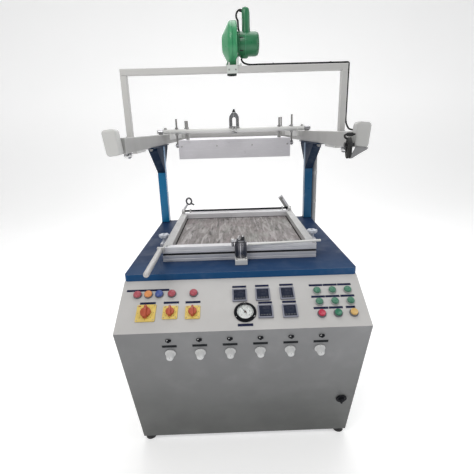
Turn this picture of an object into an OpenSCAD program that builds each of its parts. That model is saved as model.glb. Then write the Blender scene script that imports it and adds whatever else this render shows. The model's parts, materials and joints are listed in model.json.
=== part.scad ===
// Floor-standing sheet former: a sheet-steel cabinet with a sloped control
// panel, a clamping frame over a rising bed, and an overhead heater box that
// rolls forward on two side beams. Millimetres, +Z up, front towards -Y,
// origin on the floor under the middle of the overall outline.

/* [Cabinet] */
// Width of the table top and of the cabinet
cab_w = 800; // [790:2:810]
// Depth of the table top, front edge to rear edge
top_d = 768; // [760:2:780]
// Height of the table surface above the floor
table_h = 710; // [690:5:740]
// Height of the folded lip of the table top
lip_h = 24; // [20:1:30]
// How far the control panel runs out in front of the table edge
panel_out = 172; // [160:2:180]
// How far the control panel drops from the lip to the break line
panel_drop = 100; // [90:2:110]
// Sheet thickness of the cabinet
sheet_t = 3; // [2:0.5:3]
// Height of the rubber feet
foot_h = 22; // [16:1:30]

/* [Uprights and beams] */
// Side of the square upright tube
post_s = 40; // [36:1:44]
// Clear height from the table to the underside of the beam flange
post_len = 393; // [380:1:410]
// Height of the side beams
beam_h = 52; // [48:1:56]
// Width of the side beams
beam_w = 30; // [28:1:32]
// Distance of the beams' front ends behind the table edge
beam_y0 = 90; // [88:1:94]
// Distance of the beams' rear ends behind the table edge
beam_y1 = 1342; // [1336:1:1360]
// Height of the arch above the beams
arch_h = 226; // [210:1:240]
// Distance of the arch behind the table edge, to its middle
arch_y = 218; // [214:1:219]
// Side of the arch tube
arch_s = 22; // [20:1:22]

/* [Heater] */
// Width of the heater box
heat_w = 568; // [556:2:572]
// Depth of the heater box
heat_d = 560; // [550:2:562]
// Height of the heater box
heat_h = 94; // [90:1:98]
// Heater front face at rest, behind the table edge
heat_y = 742; // [740:1:746]
// Front cross tube at rest, behind the table edge
tube_y = 826; // [824:1:830]
// Spacing of the front and rear cross tubes
tube_gap = 400; // [380:5:420]
// Radius of the running rollers
roller_r = 13; // [12.5:0.5:13.5]

/* [Clamping frame] */
// Outer width of the clamping frames
fr_w = 572; // [566:2:576]
// Outer depth of the clamping frames
fr_d = 572; // [566:2:572]
// Front of the clamping frames behind the table edge
fr_y = 118; // [117:0.5:119]
// Width of the frame rails
rail_w = 32; // [28:1:34]
// Height of the lower rail
low_h = 24; // [22:1:25]
// Height of the seal between the frames
seal_h = 8; // [6:1:8]
// Height of the upper rail
up_h = 23.7; // [22:0.1:24]

/* [Controls] */
// Outer radius of a lamp or push button bezel
bez_r = 14.2; // [13:0.1:15]
// Side of the small panel instruments
inst_s = 48; // [46:1:48]
// Base radius of the zone regulator knobs
zk_r = 17; // [15:0.5:18]

/* [Hidden] */
$fn = 48;
y_mid = 585;                       // table edge to the middle of the outline
T = table_h;
HW = cab_w/2;
H0 = foot_h;                       // underside of the cabinet
ZL = T - lip_h;                    // underside of the lip
ZB = ZL - panel_drop;              // height of the break line
// unit directions down the two sloped panels, as [y, z]
L1 = norm([panel_out, panel_drop]);
E1 = [-panel_out/L1, -panel_drop/L1];
L2 = norm([panel_out, ZB-H0]);
E2 = [panel_out/L2, -(ZB-H0)/L2];
N1 = [E1[1], -E1[0]];
N2 = [E2[1], -E2[0]];
A1 = atan2(-N1[0], N1[1]);
A2 = atan2(-N2[0], N2[1]);
PA = [0, ZL];
PB = [-panel_out, ZB];
PC = [0, H0];
// where two lines meet, each given by a point and a direction
function cross2(a, b) = a[0]*b[1] - a[1]*b[0];
function meet(p, u, q, v) = p + u * (cross2(q-p, v)/cross2(u, v));
QA = meet(PA - sheet_t*N1, E1, [0, ZL], [1, 0]);
QB = meet(PA - sheet_t*N1, E1, PC - sheet_t*N2, E2);
QC = meet(PC - sheet_t*N2, E2, [0, H0], [1, 0]);
beam_x = 384;                      // middle of each side beam
beam_z = T + post_len + 5;         // underside of the beams
beam_t = beam_z + beam_h;          // running surface on the beams
heat_z = T + 326;                  // underside of the heater box
tube_z = beam_t + roller_r + 0.3;  // axis of the cross tubes
arch_z = beam_t + arch_h;          // top of the arch
piv_y = 728;                       // hinge line of the upper frame
piv_z = T + 58;
zl0 = T;                           // levels of the frame stack
zl1 = zl0 + low_h;
zl2 = zl1 + seal_h;
zl3 = zl2 + 0.3;
zl4 = zl3 + up_h;
bl_y = 255;                        // blower axis
bl_z = arch_z + 76.5;
// places on the control panel as [x, distance down the slope]
LAMPS = [[-346,58],[-310,58],[-274,58],[-232,58],[-160,58],
         [250,64.5],[301,64.5],[352,64.5],[250,108],[301,108],[352,108]];
BUTTONS = [[250,151.5],[302,151.5],[352,151.5]];
CAMS = [[-309,128,62],[-231.5,128,48],[-159.5,130,48]];
INSTR = [[-7.5,72],[69,71],[150,70],[73,136],[151,137]];
GAUGE = [8,136];
ZONES = [-235,-139,-43,53,149,245];
zone_s = 94;
LOCK = [354,379];
STRIPS1 = [[-385,-243,39.5],[-333,-282,90.5],[-256,-206,90.5],[-185,-136,91.5],
           [-31,16,37],[46,92,36],[128,174,35],[52,97,102.5],[130,175,102.5],
           [-17,31,181],[227,273,41],[274.5,321.5,41],[323,369,41],
           [228,273,86.5],[274.5,321,86.5],[324,370,86.5],
           [228,275,129.5],[277,322,129.5],[332,362,129.5]];

// Route of the blower lead: loop from the grip into the body, then from the
// body along the arch, down its right leg, through the end guard with its
// spare turns, and back under the beam to the conduit.
LEAD_A = [[30.2,255,1567],[26,255,1568],[20,255,1566],[14.5,255,1560],[12,255,1552],[12.6,255,1544],
          [16.2,255,1537],[17.6,255,1528],[18,255,1515],[19,255,1508],[21,255,1502.6]];
LEAD_B = [[27,256,1415.2],[27.6,255,1412],[30,252,1406],[35,247,1400.5],[43,240,1396],[51,233,1393],[60,226,1391],[72,220,1390],
          [90,218,1390],[150,218,1390],[220,218,1390],[290,218,1390],[350,218,1390],[378,218,1390],
          [390,218,1390.4],[396.5,218,1389.6],[399.6,218,1386],[399.6,218,1377],[399.3,218,1320],[399.3,218,1260],
          [399.3,218,1204],[400.5,214,1188],[403,203,1175],[404,188,1168],[404,160,1165],
          [404,120,1164],[404,80,1164]];
LEAD_C = [[404,80,1122],[404,104,1122],[404,170,1121],[404,300,1120],[404,420,1117],
          [406,490,1112],[409,560,1106],[413,640,1098],[415,700,1091],[415.5,730,1086],
          [415,745,1079],[415,748,1070.2]];
LEAD_D = [[394,54,1151.5],[384,54,1151.5],[374,54,1151.5]];
LEAD_E = [[356,53.6,1151.5],[351.5,53.4,1151],[348,53,1148.5],[347.6,52,1144.5],[350,51,1141],[355.5,50.5,1138.6],[360,50,1138.4]];

// ---- helpers ----
// moves a shape from the table-edge frame to the part's own frame
module at() { translate([0, -y_mid, 0]) children(); }
// extrudes a [y, z] profile between x0 and x1
module slab(x0, x1) {
  translate([x0, 0, 0]) rotate([90, 0, 90]) linear_extrude(x1 - x0) children();
}
module box(p, q) { translate(p) cube(q - p); }
// stands a shape on the control panel, its own z along the panel's normal
module on1(x, s) {
  translate([x, PA[0]+E1[0]*s, PA[1]+E1[1]*s]) rotate([A1, 0, 0]) children();
}
// the same on the lower front panel
module on2(x, s) {
  translate([x, PB[0]+E2[0]*s, PB[1]+E2[1]*s]) rotate([A2, 0, 0]) children();
}
module both() { children(); mirror([1, 0, 0]) children(); }
// cylinder from x0 to x1 on an axis along X
module xcyl(x0, x1, y, z, r) { translate([x0, y, z]) rotate([0, 90, 0]) cylinder(h = x1-x0, r = r); }
module hexnut(r, h) { cylinder(h = h, r = r, $fn = 6); }
module rrect(w, h, r) {
  square([w-2*r, h], center = true);
  square([w, h-2*r], center = true);
  for (sx = [-1, 1], sy = [-1, 1]) translate([sx*(w/2-r), sy*(h/2-r)]) circle(r);
}
// round tube swept along a list of points
function unit(v) = v / norm(v);
function tan_at(p, i) = unit(p[min(i+1, len(p)-1)] - p[max(i-1, 0)]);
function side_of(t) = abs(t[1]) > 0.9 ? unit(cross(t, [1, 0, 0])) : unit(cross(t, [0, 1, 0]));
module sweep(p, r, n = 8) {
  pts = [for (i = [0:len(p)-1]) let (t = tan_at(p, i), a = unit(cross(t, [0.0, 0.0, 1.0] + (abs(t[2]) > 0.8 ? [0, 1, -1] : [0, 0, 0]))), b = cross(t, a))
           for (k = [0:n-1]) p[i] + r*(cos(360*k/n)*a + sin(360*k/n)*b)];
  faces = concat(
    [[for (k = [0:n-1]) k]],
    [for (i = [0:len(p)-2], k = [0:n-1]) [i*n+k, (i+1)*n+k, (i+1)*n+(k+1)%n, i*n+(k+1)%n]],
    [[for (k = [n-1:-1:0]) (len(p)-1)*n+k]]);
  polyhedron(pts, faces, convexity = 6);
}

// ---- cabinet ----
module feet() color([0.08, 0.08, 0.09]) at()
  for (x = [-378, 378], y = [24, top_d-26]) translate([x, y, 0]) {
    cylinder(h = foot_h-6, r = 20);
    translate([0, 0, foot_h-6]) cylinder(h = 6, r = 15);
  }

module bottom_plate() color([0.5, 0.52, 0.54]) at()
  difference() {
    box([-HW+sheet_t, QC[0]+0.2, H0], [HW-sheet_t, top_d-3-sheet_t, H0+3]);
    for (x = [-250, -120, 120, 250], y = [620, 660]) translate([x, y, H0-1]) rotate([0, 0, 0]) cylinder(h = 5, r = 9);
  }

module side_shape() polygon([QA, QB, QC, [top_d-3, H0], [top_d-3, ZL]]);
module side_panel_left() color([0.62, 0.62, 0.61]) at() slab(-HW, -HW+sheet_t) side_shape();
module side_panel_right() color([0.62, 0.62, 0.61]) at()
  difference() {
    slab(HW-sheet_t, HW) side_shape();
    xcyl(HW-sheet_t-1, HW+1, 748, T-113, 9);
  }

module back_panel() color([0.60, 0.60, 0.60]) at()
  difference() {
    box([-HW+sheet_t, top_d-3-sheet_t, H0], [HW-sheet_t, top_d-3, ZL]);
    // louvre slots and the supply inlet
    for (i = [0:6]) box([-150, top_d-12, 420+i*22], [150, top_d, 428+i*22]);
    translate([300, top_d+1, 110]) rotate([90, 0, 0]) cylinder(h = 12, r = 11);
  }

module control_panel() color([0.76, 0.76, 0.74]) at()
  difference() {
    slab(-HW, HW) polygon([PA, PB, QB, QA]);
    for (p = LAMPS) on1(p[0], p[1]) translate([0, 0, -20]) cylinder(h = 40, r = 11.2);
    for (p = BUTTONS) on1(p[0], p[1]) translate([0, 0, -20]) cylinder(h = 40, r = 11.2);
    for (p = CAMS) on1(p[0], p[1]) translate([0, 0, -20]) cylinder(h = 40, r = 7);
    for (p = INSTR) on1(p[0], p[1]) translate([-22.5, -22.5, -20]) cube([45, 45, 40]);
    on1(GAUGE[0], GAUGE[1]) translate([0, 0, -20]) cylinder(h = 40, r = 27);
  }

module lower_front_panel() color([0.66, 0.66, 0.65]) at()
  difference() {
    slab(-HW, HW) polygon([PB, PC, QC, QB]);
    for (x = ZONES) on2(x, zone_s) translate([0, 0, -20]) cylinder(h = 40, r = 3.4);
    on2(LOCK[0], LOCK[1]) translate([0, 0, -20]) cylinder(h = 40, r = 8.4);
  }

module top_plan(m) {
  r = 14 - m;
  w = HW - m;
  translate([-w, m+r]) square([2*w, top_d-2*m-r]);
  translate([-w+r, m]) square([2*(w-r), top_d-2*m]);
  for (s = [-1, 1]) translate([s*(w-r), m+r]) circle(r);
}
module top_plate() color([0.14, 0.26, 0.46]) at()
  difference() {
    translate([0, 0, ZL]) linear_extrude(lip_h) top_plan(0);
    translate([0, 0, ZL-1]) linear_extrude(lip_h-2) top_plan(3);
    box([-fr_w/2+rail_w, fr_y+rail_w, T-10], [fr_w/2-rail_w, fr_y+fr_d-rail_w, T+1]);
    for (s = [-1, 1]) translate([s*316, 330, T-10]) cylinder(h = 20, r = 4.5);
  }

// ---- forming box, bed and services inside the cabinet ----
bx = fr_w/2 - rail_w + 8;
by0 = fr_y + rail_w - 8;
by1 = fr_y + fr_d - rail_w + 8;
bz = T - 165;
by = (by0+by1)/2;
module forming_box() color([0.58, 0.60, 0.62]) at() {
  // floor with the passages of the rod and the suction pipe
  difference() {
    box([-bx-3, by0-3, bz], [bx+3, by1+3, bz+3]);
    translate([0, by, bz-1]) cylinder(h = 6, r = 11.3);
    translate([180, by, bz-1]) cylinder(h = 6, r = 12.2);
  }
  // four walls standing on it, with open weld seams
  for (y = [by0-3, by1]) box([-bx-3, y, bz+3.04], [bx+3, y+3, T-3]);
  for (x = [-bx-3, bx]) box([x, by0+0.04, bz+3.04], [x+3, by1-0.04, T-3]);
}

module platen() color([0.52, 0.49, 0.48]) at() {
  difference() {
    box([-fr_w/2+rail_w+4, fr_y+rail_w+4, zl2-12.5], [fr_w/2-rail_w-4, fr_y+fr_d-rail_w-4, zl2-0.5]);
    for (i = [-1.5:1:1.5], j = [-1.5:1:1.5]) translate([i*120, by+j*120, zl2-20]) cylinder(h = 30, r = 2.5);
  }
  for (a = [0, 90]) translate([0, by, 0]) rotate([0, 0, a]) box([-180, -4, zl2-34.5], [180, 4, zl2-12.5]);
  translate([0, by, zl2-40]) cylinder(h = 27.5, r = 26);
  translate([0, by, bz-40]) cylinder(h = zl2-40.04-bz+40, r = 11);
  translate([0, by, bz-40]) cylinder(h = 20, r = 24.7);
}

module platen_cylinder() color([0.72, 0.73, 0.75]) at() translate([0, by, 0]) {
  difference() {
    translate([0, 0, bz-215]) cylinder(h = 215, r = 32);
    translate([0, 0, bz-203]) cylinder(h = 191, r = 25);
    translate([0, 0, bz-20]) cylinder(h = 30, r = 11.05);
  }
  for (a = [45:90:315]) rotate([0, 0, a]) translate([39, 0, bz-215]) cylinder(h = 215, r = 4);
  difference() {
    for (z = [bz-215, bz-12]) translate([0, 0, z]) linear_extrude(12) rrect(84, 84, 8);
    translate([0, 0, bz-216]) cylinder(h = 220, r = 31.9);
    for (a = [45:90:315]) rotate([0, 0, a]) translate([39, 0, bz-216]) cylinder(h = 220, r = 3.9);
  }
}

module vacuum_pump() color([0.16, 0.34, 0.58]) at() {
  // base, motor, pump chamber and suction pipe up to the forming box
  box([60, by-80, H0+3], [300, by+80, H0+13]);
  for (x = [90, 250]) box([x, by-50, H0+13], [x+16, by+50, H0+60]);
  difference() {
    union() {
      xcyl(75, 215, by, H0+105, 62);
      xcyl(215, 240, by, H0+105, 46);
      xcyl(240, 300, by, H0+105, 58);
      translate([180, by, H0+150]) cylinder(h = bz+3-H0-150, r = 12);
    }
    translate([180, by, H0+180]) cylinder(h = bz, r = 9);
  }
  for (a = [0:30:330]) translate([80, by, H0+105]) rotate([a, 0, 0]) translate([0, -1.5, 60]) cube([120, 3, 8]);
}

// ---- uprights, beams and arch ----
module post() {
  x0 = HW-post_s;
  difference() {
    box([x0, top_d-post_s, T], [HW, top_d, beam_z-5.04]);
    box([x0+3, top_d-post_s+3, T-1], [HW-3, top_d-3, beam_z]);
  }
  // flange under the beam
  difference() {
    box([358, 480, beam_z-5], [402, 900, beam_z]);
    for (y = [530, 880]) translate([380, y, beam_z-6]) cylinder(h = 8, r = 5.5);
  }
  // boxed knee braces, front and rear
  for (g = [[top_d-post_s, -1, 166, 129], [top_d, 1, 92, 74]]) difference() {
    slab(x0, HW) polygon([[g[0]+g[1]*0.04, beam_z-5.04], [g[0]+g[1]*g[2], beam_z-5.04], [g[0]+g[1]*g[2], beam_z-16], [g[0]+g[1]*0.04, beam_z-5-g[3]]]);
    slab(x0+3, HW-3) polygon([[g[0]-g[1], beam_z-4], [g[0]+g[1]*(g[2]-3), beam_z-4], [g[0]+g[1]*(g[2]-3), beam_z-14], [g[0]-g[1], beam_z-5-g[3]+4]]);
  }
}
module posts() color([0.10, 0.40, 0.60]) at() both() post();

// side beams with their welded pads, joined by a cross tie at the rear
module beams() color([0.66, 0.66, 0.65]) at() difference() {
  union() {
    both() {
      box([beam_x-beam_w/2, beam_y0, beam_z], [beam_x+beam_w/2, beam_y1, beam_t]);
      box([372, 236, beam_z-9], [396, 394, beam_z]);
    }
    box([-beam_x, beam_y1-28, beam_z], [beam_x, beam_y1-4, beam_t]);
  }
  both() box([beam_x-beam_w/2+2.5, beam_y0-1, beam_z+2.5], [beam_x+beam_w/2-2.5, beam_y1+1, beam_t-2.5]);
  box([-beam_x, beam_y1-26, beam_z+2], [beam_x, beam_y1-6, beam_t-2]);
}

// rounded sheet guard over the front end of each beam
module guard_shell(h) {
  difference() {
    rotate([90, 0, 0]) linear_extrude(48) rrect(46, h, 12);
    translate([0, 1, 0]) rotate([90, 0, 0]) linear_extrude(46) rrect(41, h-5, 9.5);
  }
}
module end_guards() color([0.80, 0.80, 0.78]) at() {
  translate([-403, beam_y0-0.2, beam_z+38]) rotate([0, -7, 0]) guard_shell(84);
  difference() {
    translate([405, beam_y0-0.2, beam_z+41.5]) rotate([0, 5, 0]) guard_shell(80);
    // entry of the lead at the side
    xcyl(375, 392, 54, 1151.5, 3.8);
  }
  // slanting apron below the right guard
  translate([0, 43, beam_z+2.5]) rotate([125, 0, 0]) linear_extrude(2.5)
    polygon([[380.5, 3.2], [424, -0.8], [421, -8], [400, -25], [381, -43], [374, -44], [374, -30], [379.4, -8]]);
  // peg and its disc that carry the spare turns of the lead
  xcyl(350, 381.5, 52, beam_z+11, 5.5);
  xcyl(347.6, 350.1, 52, beam_z+11, 8.5);
}

module gantry() color([0.74, 0.74, 0.73]) at() {
  w = beam_x + arch_s/2;
  h = arch_z - beam_t;
  difference() {
    translate([0, arch_y+arch_s/2, beam_t]) rotate([90, 0, 0]) linear_extrude(arch_s)
      difference() {
        translate([-w, 0]) square([2*w, h]);
        translate([-w+arch_s, -1]) square([2*(w-arch_s), h-arch_s+1]);
      }
    translate([0, arch_y+arch_s/2-2, beam_t]) rotate([90, 0, 0]) linear_extrude(arch_s-4)
      difference() {
        translate([-w+2, -1]) square([2*(w-2), h-1]);
        translate([-w+arch_s-2, -2]) square([2*(w-arch_s+2), h-arch_s+4]);
      }
  }
}

// ---- blower on the arch ----
module blower_bracket() color([0.80, 0.84, 0.80]) at() {
  zb = arch_z;
  ya = arch_y - arch_s/2;
  difference() {
    union() {
      // front plate, saddle over the bar, and two straps up the drum
      box([-25, ya-3, zb-arch_s-2], [12, ya, zb+3]);
      box([-28.3, ya-0.01, zb], [26, 290, zb+3]);
      box([-21, ya-3, zb], [-15, ya, zb+11]);
      box([7, ya-3, zb], [16, ya, zb+20]);
      box([13.6, ya-3, zb], [16, ya, zb+28]);
      for (x = [-28.3, 23]) box([x, 236, zb+3], [x+3, 284, zb+13]);
    }
    translate([-8, 254, zb-1]) cylinder(h = 6, r = 17.3);
  }
}

module blower_housing() color([0.18, 0.50, 0.33]) at() {
  difference() {
    union() {
      // scroll with its domed intake side, motor and grip
      xcyl(-15, 13, bl_y, bl_z, 73);
      translate([-14.99, bl_y, bl_z]) rotate([0, -90, 0]) cylinder(h = 25, r1 = 73, r2 = 28);
      xcyl(12.9, 80, bl_y, bl_z-1, 39.5);
      translate([79.9, bl_y, bl_z-1]) rotate([0, 90, 0]) cylinder(h = 10, r1 = 39.5, r2 = 30);
      translate([44.5, bl_y, bl_z+25]) linear_extrude(78) rrect(27, 44, 10);
      translate([44.5, bl_y, bl_z+102.9]) linear_extrude(8) rrect(21, 36, 8);
      // outlet neck and the boss under the motor
      translate([-8, 254, arch_z-25]) cylinder(h = 70, r = 17);
      translate([37, bl_y, 1416]) cylinder(h = 14.5, r = 15);
    }
    xcyl(-13, 8, bl_y, bl_z, 68);
    xcyl(-50, 0, bl_y, bl_z, 20);
    xcyl(7, 30, bl_y, bl_z, 4.05);
    translate([-8, 254, arch_z-27]) cylinder(h = 72, r = 12.5);
    // pocket for the trigger
    box([38, bl_y+11, 1510], [51, bl_y+26, 1536]);
  }
}

module blower_impeller() color([0.12, 0.12, 0.12]) at() {
  xcyl(3, 6, bl_y, bl_z, 63);
  xcyl(-13, 6, bl_y, bl_z, 11);
  xcyl(5, 29, bl_y, bl_z, 4);
  for (a = [0:45:315]) translate([0, bl_y, bl_z]) rotate([a, 0, 0])
    rotate([12, 0, 0]) box([-11, -1.2, 9], [4, 1.2, 61]);
}

module blower_trigger() color([0.09, 0.09, 0.09]) at()
  box([38.4, bl_y+14.6, 1510.4], [50.6, bl_y+27, 1535.6]);

module blower_lead() color([0.07, 0.07, 0.08]) at() {
  sweep(LEAD_A, 3.2);
  sweep(LEAD_B, 3.2);
  sweep(LEAD_C, 3.2);
  sweep(LEAD_D, 3.2);
  sweep(LEAD_E, 3.2);
  // in-line plug in front of the hole in the guard
  xcyl(354, 376.5, 54, 1151.5, 5.5);
  // spare turns hung on the right end guard
  translate([362, 50, beam_z+1]) rotate([0, 0, -9]) rotate([0, 90, 0]) rotate_extrude($fn = 48)
    for (i = [-1, 1], r = [19.4, 25, 30.6]) translate([r, i*3.5]) circle(r = 3.55, $fn = 16);
}

module wiring_conduit() color([0.55, 0.55, 0.56]) at() {
  translate([415, 748, T-96]) cylinder(h = 1070-T+96, r = 12.5);
  // saddles on the upright, and the elbow into the side of the cabinet
  for (z = [T+80, T+230]) {
    translate([415, 748, z]) cylinder(h = 16, r = 13.6);
    box([HW, 740, z], [414, 756, z+16]);
  }
  translate([415, 748, T-130]) cylinder(h = 34, r = 15);
  xcyl(HW, 415, 748, T-113, 13);
  xcyl(HW-12, HW+1, 748, T-113, 8.6);
}

// ---- heater and its carriage ----
hy0 = heat_y;
hy1 = heat_y + heat_d;
hx = heat_w/2;
htop = heat_z + heat_h;
ROD_X = [-300, -244, 238, 304];
module heater_shell() color([0.70, 0.69, 0.71]) at()
  difference() {
    union() {
      difference() {
        box([-hx, hy0, heat_z], [hx, hy1, htop]);
        box([-hx+2.5, hy0+2.5, heat_z-1], [hx-2.5, hy1-2.5, htop-2.5]);
      }
      // reflector tray above the elements
      box([-hx+2.5, hy0+2.5, heat_z+58], [hx-2.5, hy1-2.5, heat_z+60.5]);
      // side angles that take the outer hanger rods
      both() for (y = [tube_y, tube_y+tube_gap]) {
        box([hx, y-14, heat_z+64], [hx+30, y+14, heat_z+68]);
        box([hx, y-14, heat_z+46], [hx+3, y+14, heat_z+64]);
      }
    }
    for (y = [tube_y, tube_y+tube_gap]) {
      for (x = [ROD_X[0], ROD_X[3]]) translate([x, y, heat_z+50]) cylinder(h = 30, r = 5.2);
    }
    for (x = [ROD_X[1], ROD_X[2]]) translate([x, tube_y, heat_z+70]) cylinder(h = 30, r = 5.2);
  }

module heater_elements() color([0.93, 0.90, 0.84]) at()
  for (i = [0:5], s = [-1, 1]) translate([s*138, hy0+50+i*92, heat_z+18]) {
    // ceramic trough with a curved face and a mounting spigot
    intersection() {
      translate([-122, -30, 0]) cube([244, 60, 22]);
      translate([-122, 0, 46]) rotate([0, 90, 0]) cylinder(h = 244, r = 46);
    }
    translate([0, 0, 21.9]) cylinder(h = 18.1, r = 9);
  }

module rod(x, y, z0, z1, hn) {
  translate([x, y, z0]) cylinder(h = z1-z0, r = 5);
  // nuts above and below the tube and at the foot of the rod
  for (z = hn) translate([x, y, z]) difference() { hexnut(9.2, 8); translate([0, 0, -1]) cylinder(h = 10, r = 4.99); }
}
module heater_fasteners() color([0.42, 0.42, 0.43]) at() {
  tt = tube_z + 12.1;
  tb = tube_z - 20.1;
  for (y = [tube_y, tube_y+tube_gap]) {
    rod(ROD_X[0], y, heat_z+54, T+526, [tt, tb, heat_z+68.1, heat_z+55.9]);
    if (y == tube_y) {
      rod(ROD_X[1], y, htop-12, T+515, [tt, tb, htop+0.1]);
      rod(ROD_X[2], y, htop-12, T+521, [tt, tb, htop+0.1]);
    }
    rod(ROD_X[3], y, heat_z+54, T+534, [tt, tb, heat_z+68.1, heat_z+55.9]);
  }
  // rivets of the front face
  for (x = [-268, -89, 90, 269]) translate([x, hy0, heat_z+63]) rotate([90, 0, 0]) {
    cylinder(h = 1.2, r = 4);
    translate([0, 0, 1.2]) cylinder(h = 0.8, r1 = 4, r2 = 2.6);
  }
}

module carriage_frame() color([0.86, 0.86, 0.84]) at()
  difference() {
    union() {
      for (y = [tube_y, tube_y+tube_gap]) {
        xcyl(-369, 369, y, tube_z, 12);
        xcyl(-399, 399, y, tube_z, 5.95);
        for (s = [-1, 1]) xcyl(s > 0 ? 398.5 : -403.5, s > 0 ? 403.5 : -398.5, y, tube_z, 9);
      }
      // side rails under the tubes
      both() difference() {
        box([330, tube_y-22, tube_z-40], [336, tube_y+tube_gap+22, tube_z-2]);
        for (y = [tube_y, tube_y+tube_gap]) xcyl(329, 337, y, tube_z, 11.9);
      }
      // short bolts outside the rails
      both() for (y = [tube_y, tube_y+tube_gap]) translate([359, y, tube_z]) cylinder(h = 23, r = 5);
    }
    for (y = [tube_y, tube_y+tube_gap], x = [ROD_X[0], ROD_X[3]]) translate([x, y, tube_z-20]) cylinder(h = 40, r = 5.1);
    for (x = [ROD_X[1], ROD_X[2]]) translate([x, tube_y, tube_z-20]) cylinder(h = 40, r = 5.1);
  }

module roller_pair(y) both() difference() {
  union() {
    xcyl(372, 396, y, tube_z, roller_r);
  }
  xcyl(371, 397, y, tube_z, 6);
}
module front_rollers() color([0.45, 0.45, 0.46]) at() roller_pair(tube_y);
module rear_rollers() color([0.45, 0.45, 0.46]) at() roller_pair(tube_y+tube_gap);

// upright clevis in the middle of the front cross tube
module carriage_clevis() color([0.72, 0.72, 0.73]) at() translate([2, tube_y, tube_z+12.05]) {
  difference() {
    union() {
      translate([0, 0, 4]) rotate([90, 0, 0]) translate([0, 0, -15]) linear_extrude(30)
        polygon([[-26, 0], [26, 0], [26, 42], [20, 62], [12, 72], [-12, 72], [-20, 62], [-26, 42]]);
      translate([-28, -17, 0]) cube([56, 34, 4]);
    }
    translate([-9, -20, 8]) cube([18, 40, 34]);
    translate([0, 20, 42]) rotate([90, 0, 0]) cylinder(h = 40, r = 9);
  }
  translate([0, 0, 75.9]) hexnut(9, 9);
  translate([0, 0, 84.9]) cylinder(h = 7, r = 5);
  // clamp bolts and strap that hold the foot on the tube
  for (x = [-8, 8], y = [-14.9, 14.9]) translate([x, y, -31]) cylinder(h = 37, r = 2.5);
  translate([-14, -18.5, -28.1]) cube([28, 37, 4]);
}

// ---- clamping frames ----
module ring(w, d, y0, rw, z0, z1) difference() {
  box([-w/2, y0, z0], [w/2, y0+d, z1]);
  box([-w/2+rw, y0+rw, z0-1], [w/2-rw, y0+d-rw, z1+1]);
}
module lower_clamp_frame() color([0.74, 0.74, 0.73]) at() {
  difference() {
    ring(fr_w, fr_d, fr_y, rail_w, zl0, zl1);
    // shallow groove along the outer faces
    difference() {
      box([-fr_w/2-1, fr_y-1, zl0+10], [fr_w/2+1, fr_y+fr_d+1, zl0+13]);
      box([-fr_w/2+1.5, fr_y+1.5, zl0+9], [fr_w/2-1.5, fr_y+fr_d-1.5, zl0+14]);
    }
  }
  // hinge lugs at the rear and hold-down lugs at the sides
  both() {
    difference() {
      union() {
        slab(240, 248) polygon([[fr_y+fr_d, zl0], [piv_y+10, zl0], [piv_y+9, piv_z], [piv_y-9, piv_z], [fr_y+fr_d, zl0+24]]);
        xcyl(240, 248, piv_y, piv_z, 10);
      }
      xcyl(239, 249, piv_y, piv_z, 5.05);
    }
    difference() {
      box([fr_w/2, 312, zl0], [fr_w/2+46, 348, zl0+9]);
      translate([316, 330, zl0-1]) cylinder(h = 12, r = 4.3);
    }
  }
}

module clamp_gasket() color([0.06, 0.06, 0.07]) at()
  ring(fr_w-2, fr_d-2, fr_y+1, rail_w-2, zl1, zl2);

module upper_clamp_frame() color([0.80, 0.80, 0.79]) at() {
  ring(fr_w, fr_d, fr_y, rail_w, zl3, zl4);
  // hinge arms
  both() difference() {
    union() {
      box([272, fr_y+fr_d-10, zl4-0.01], [284, piv_y, piv_z+8]);
      box([272, fr_y+fr_d-0.01, zl3+8], [284, piv_y, piv_z]);
      xcyl(272, 284, piv_y, piv_z, 13);
    }
    xcyl(271, 285, piv_y, piv_z, 5.05);
  }
  // left arm ends in an eye with its stem and tail, right arm in a flat bar
  hull() {
    translate([-278, piv_y+10, piv_z+7]) sphere(r = 5.5, $fn = 20);
    translate([-258, piv_y+9, piv_z+34]) sphere(r = 5, $fn = 20);
  }
  translate([-250, piv_y+9, piv_z+50]) rotate([90, 0, 0]) rotate_extrude() translate([15, 0]) circle(r = 5, $fn = 20);
  hull() {
    translate([-240, piv_y+9, piv_z+38]) sphere(r = 5, $fn = 20);
    translate([-224, piv_y+9, piv_z+30]) sphere(r = 4.5, $fn = 20);
  }
  translate([279, piv_y+11, piv_z-8]) rotate([0, -33, 0]) translate([-12, -2.5, 0]) cube([24, 5, 84]);
  // lifting bar on two posts over the right half of the front rail
  translate([30, 110.5, zl4+4.2]) rotate([0, 0, 2.9]) rotate([0, 89.3, 0]) cylinder(h = 273, r = 4.5);
  for (x = [44, 276]) translate([x, fr_y+8, zl4+0.04]) cylinder(h = x == 44 ? 5 : 6.6, r = 3.5);
  translate([40, 108, zl4+0.04]) cube([8, 20, 4]);
}

module frame_handle() color([0.80, 0.80, 0.79]) at() {
  // tube running to the front and the elbow that joins it to the corner
  translate([-291.5, 110, T+50]) rotate([90, 0, 0]) cylinder(h = 234, r = 9.5);
  translate([-291.5, -124, T+50]) sphere(r = 9.3);
  box([-302, 103, T+40], [-276, fr_y-0.03, T+60]);
}

// shaft that the upper frame turns on, and the hinge leaf between it and
// the rear rail
module hinge_shaft() color([0.10, 0.10, 0.11]) at() {
  box([-239.5, 690.03, T+50.5], [239.5, 722.3, T+55.5]);
  xcyl(-287, 287, piv_y, piv_z, 5);
  both() xcyl(287, 290, piv_y, piv_z, 8);
}

// black side guide standing beside the right rails
module side_guide() color([0.07, 0.07, 0.08]) at() {
  box([291, 384, T], [303, 690, T+30]);
  box([291, 384, T+29], [297, 560, T+36]);
}

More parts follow.
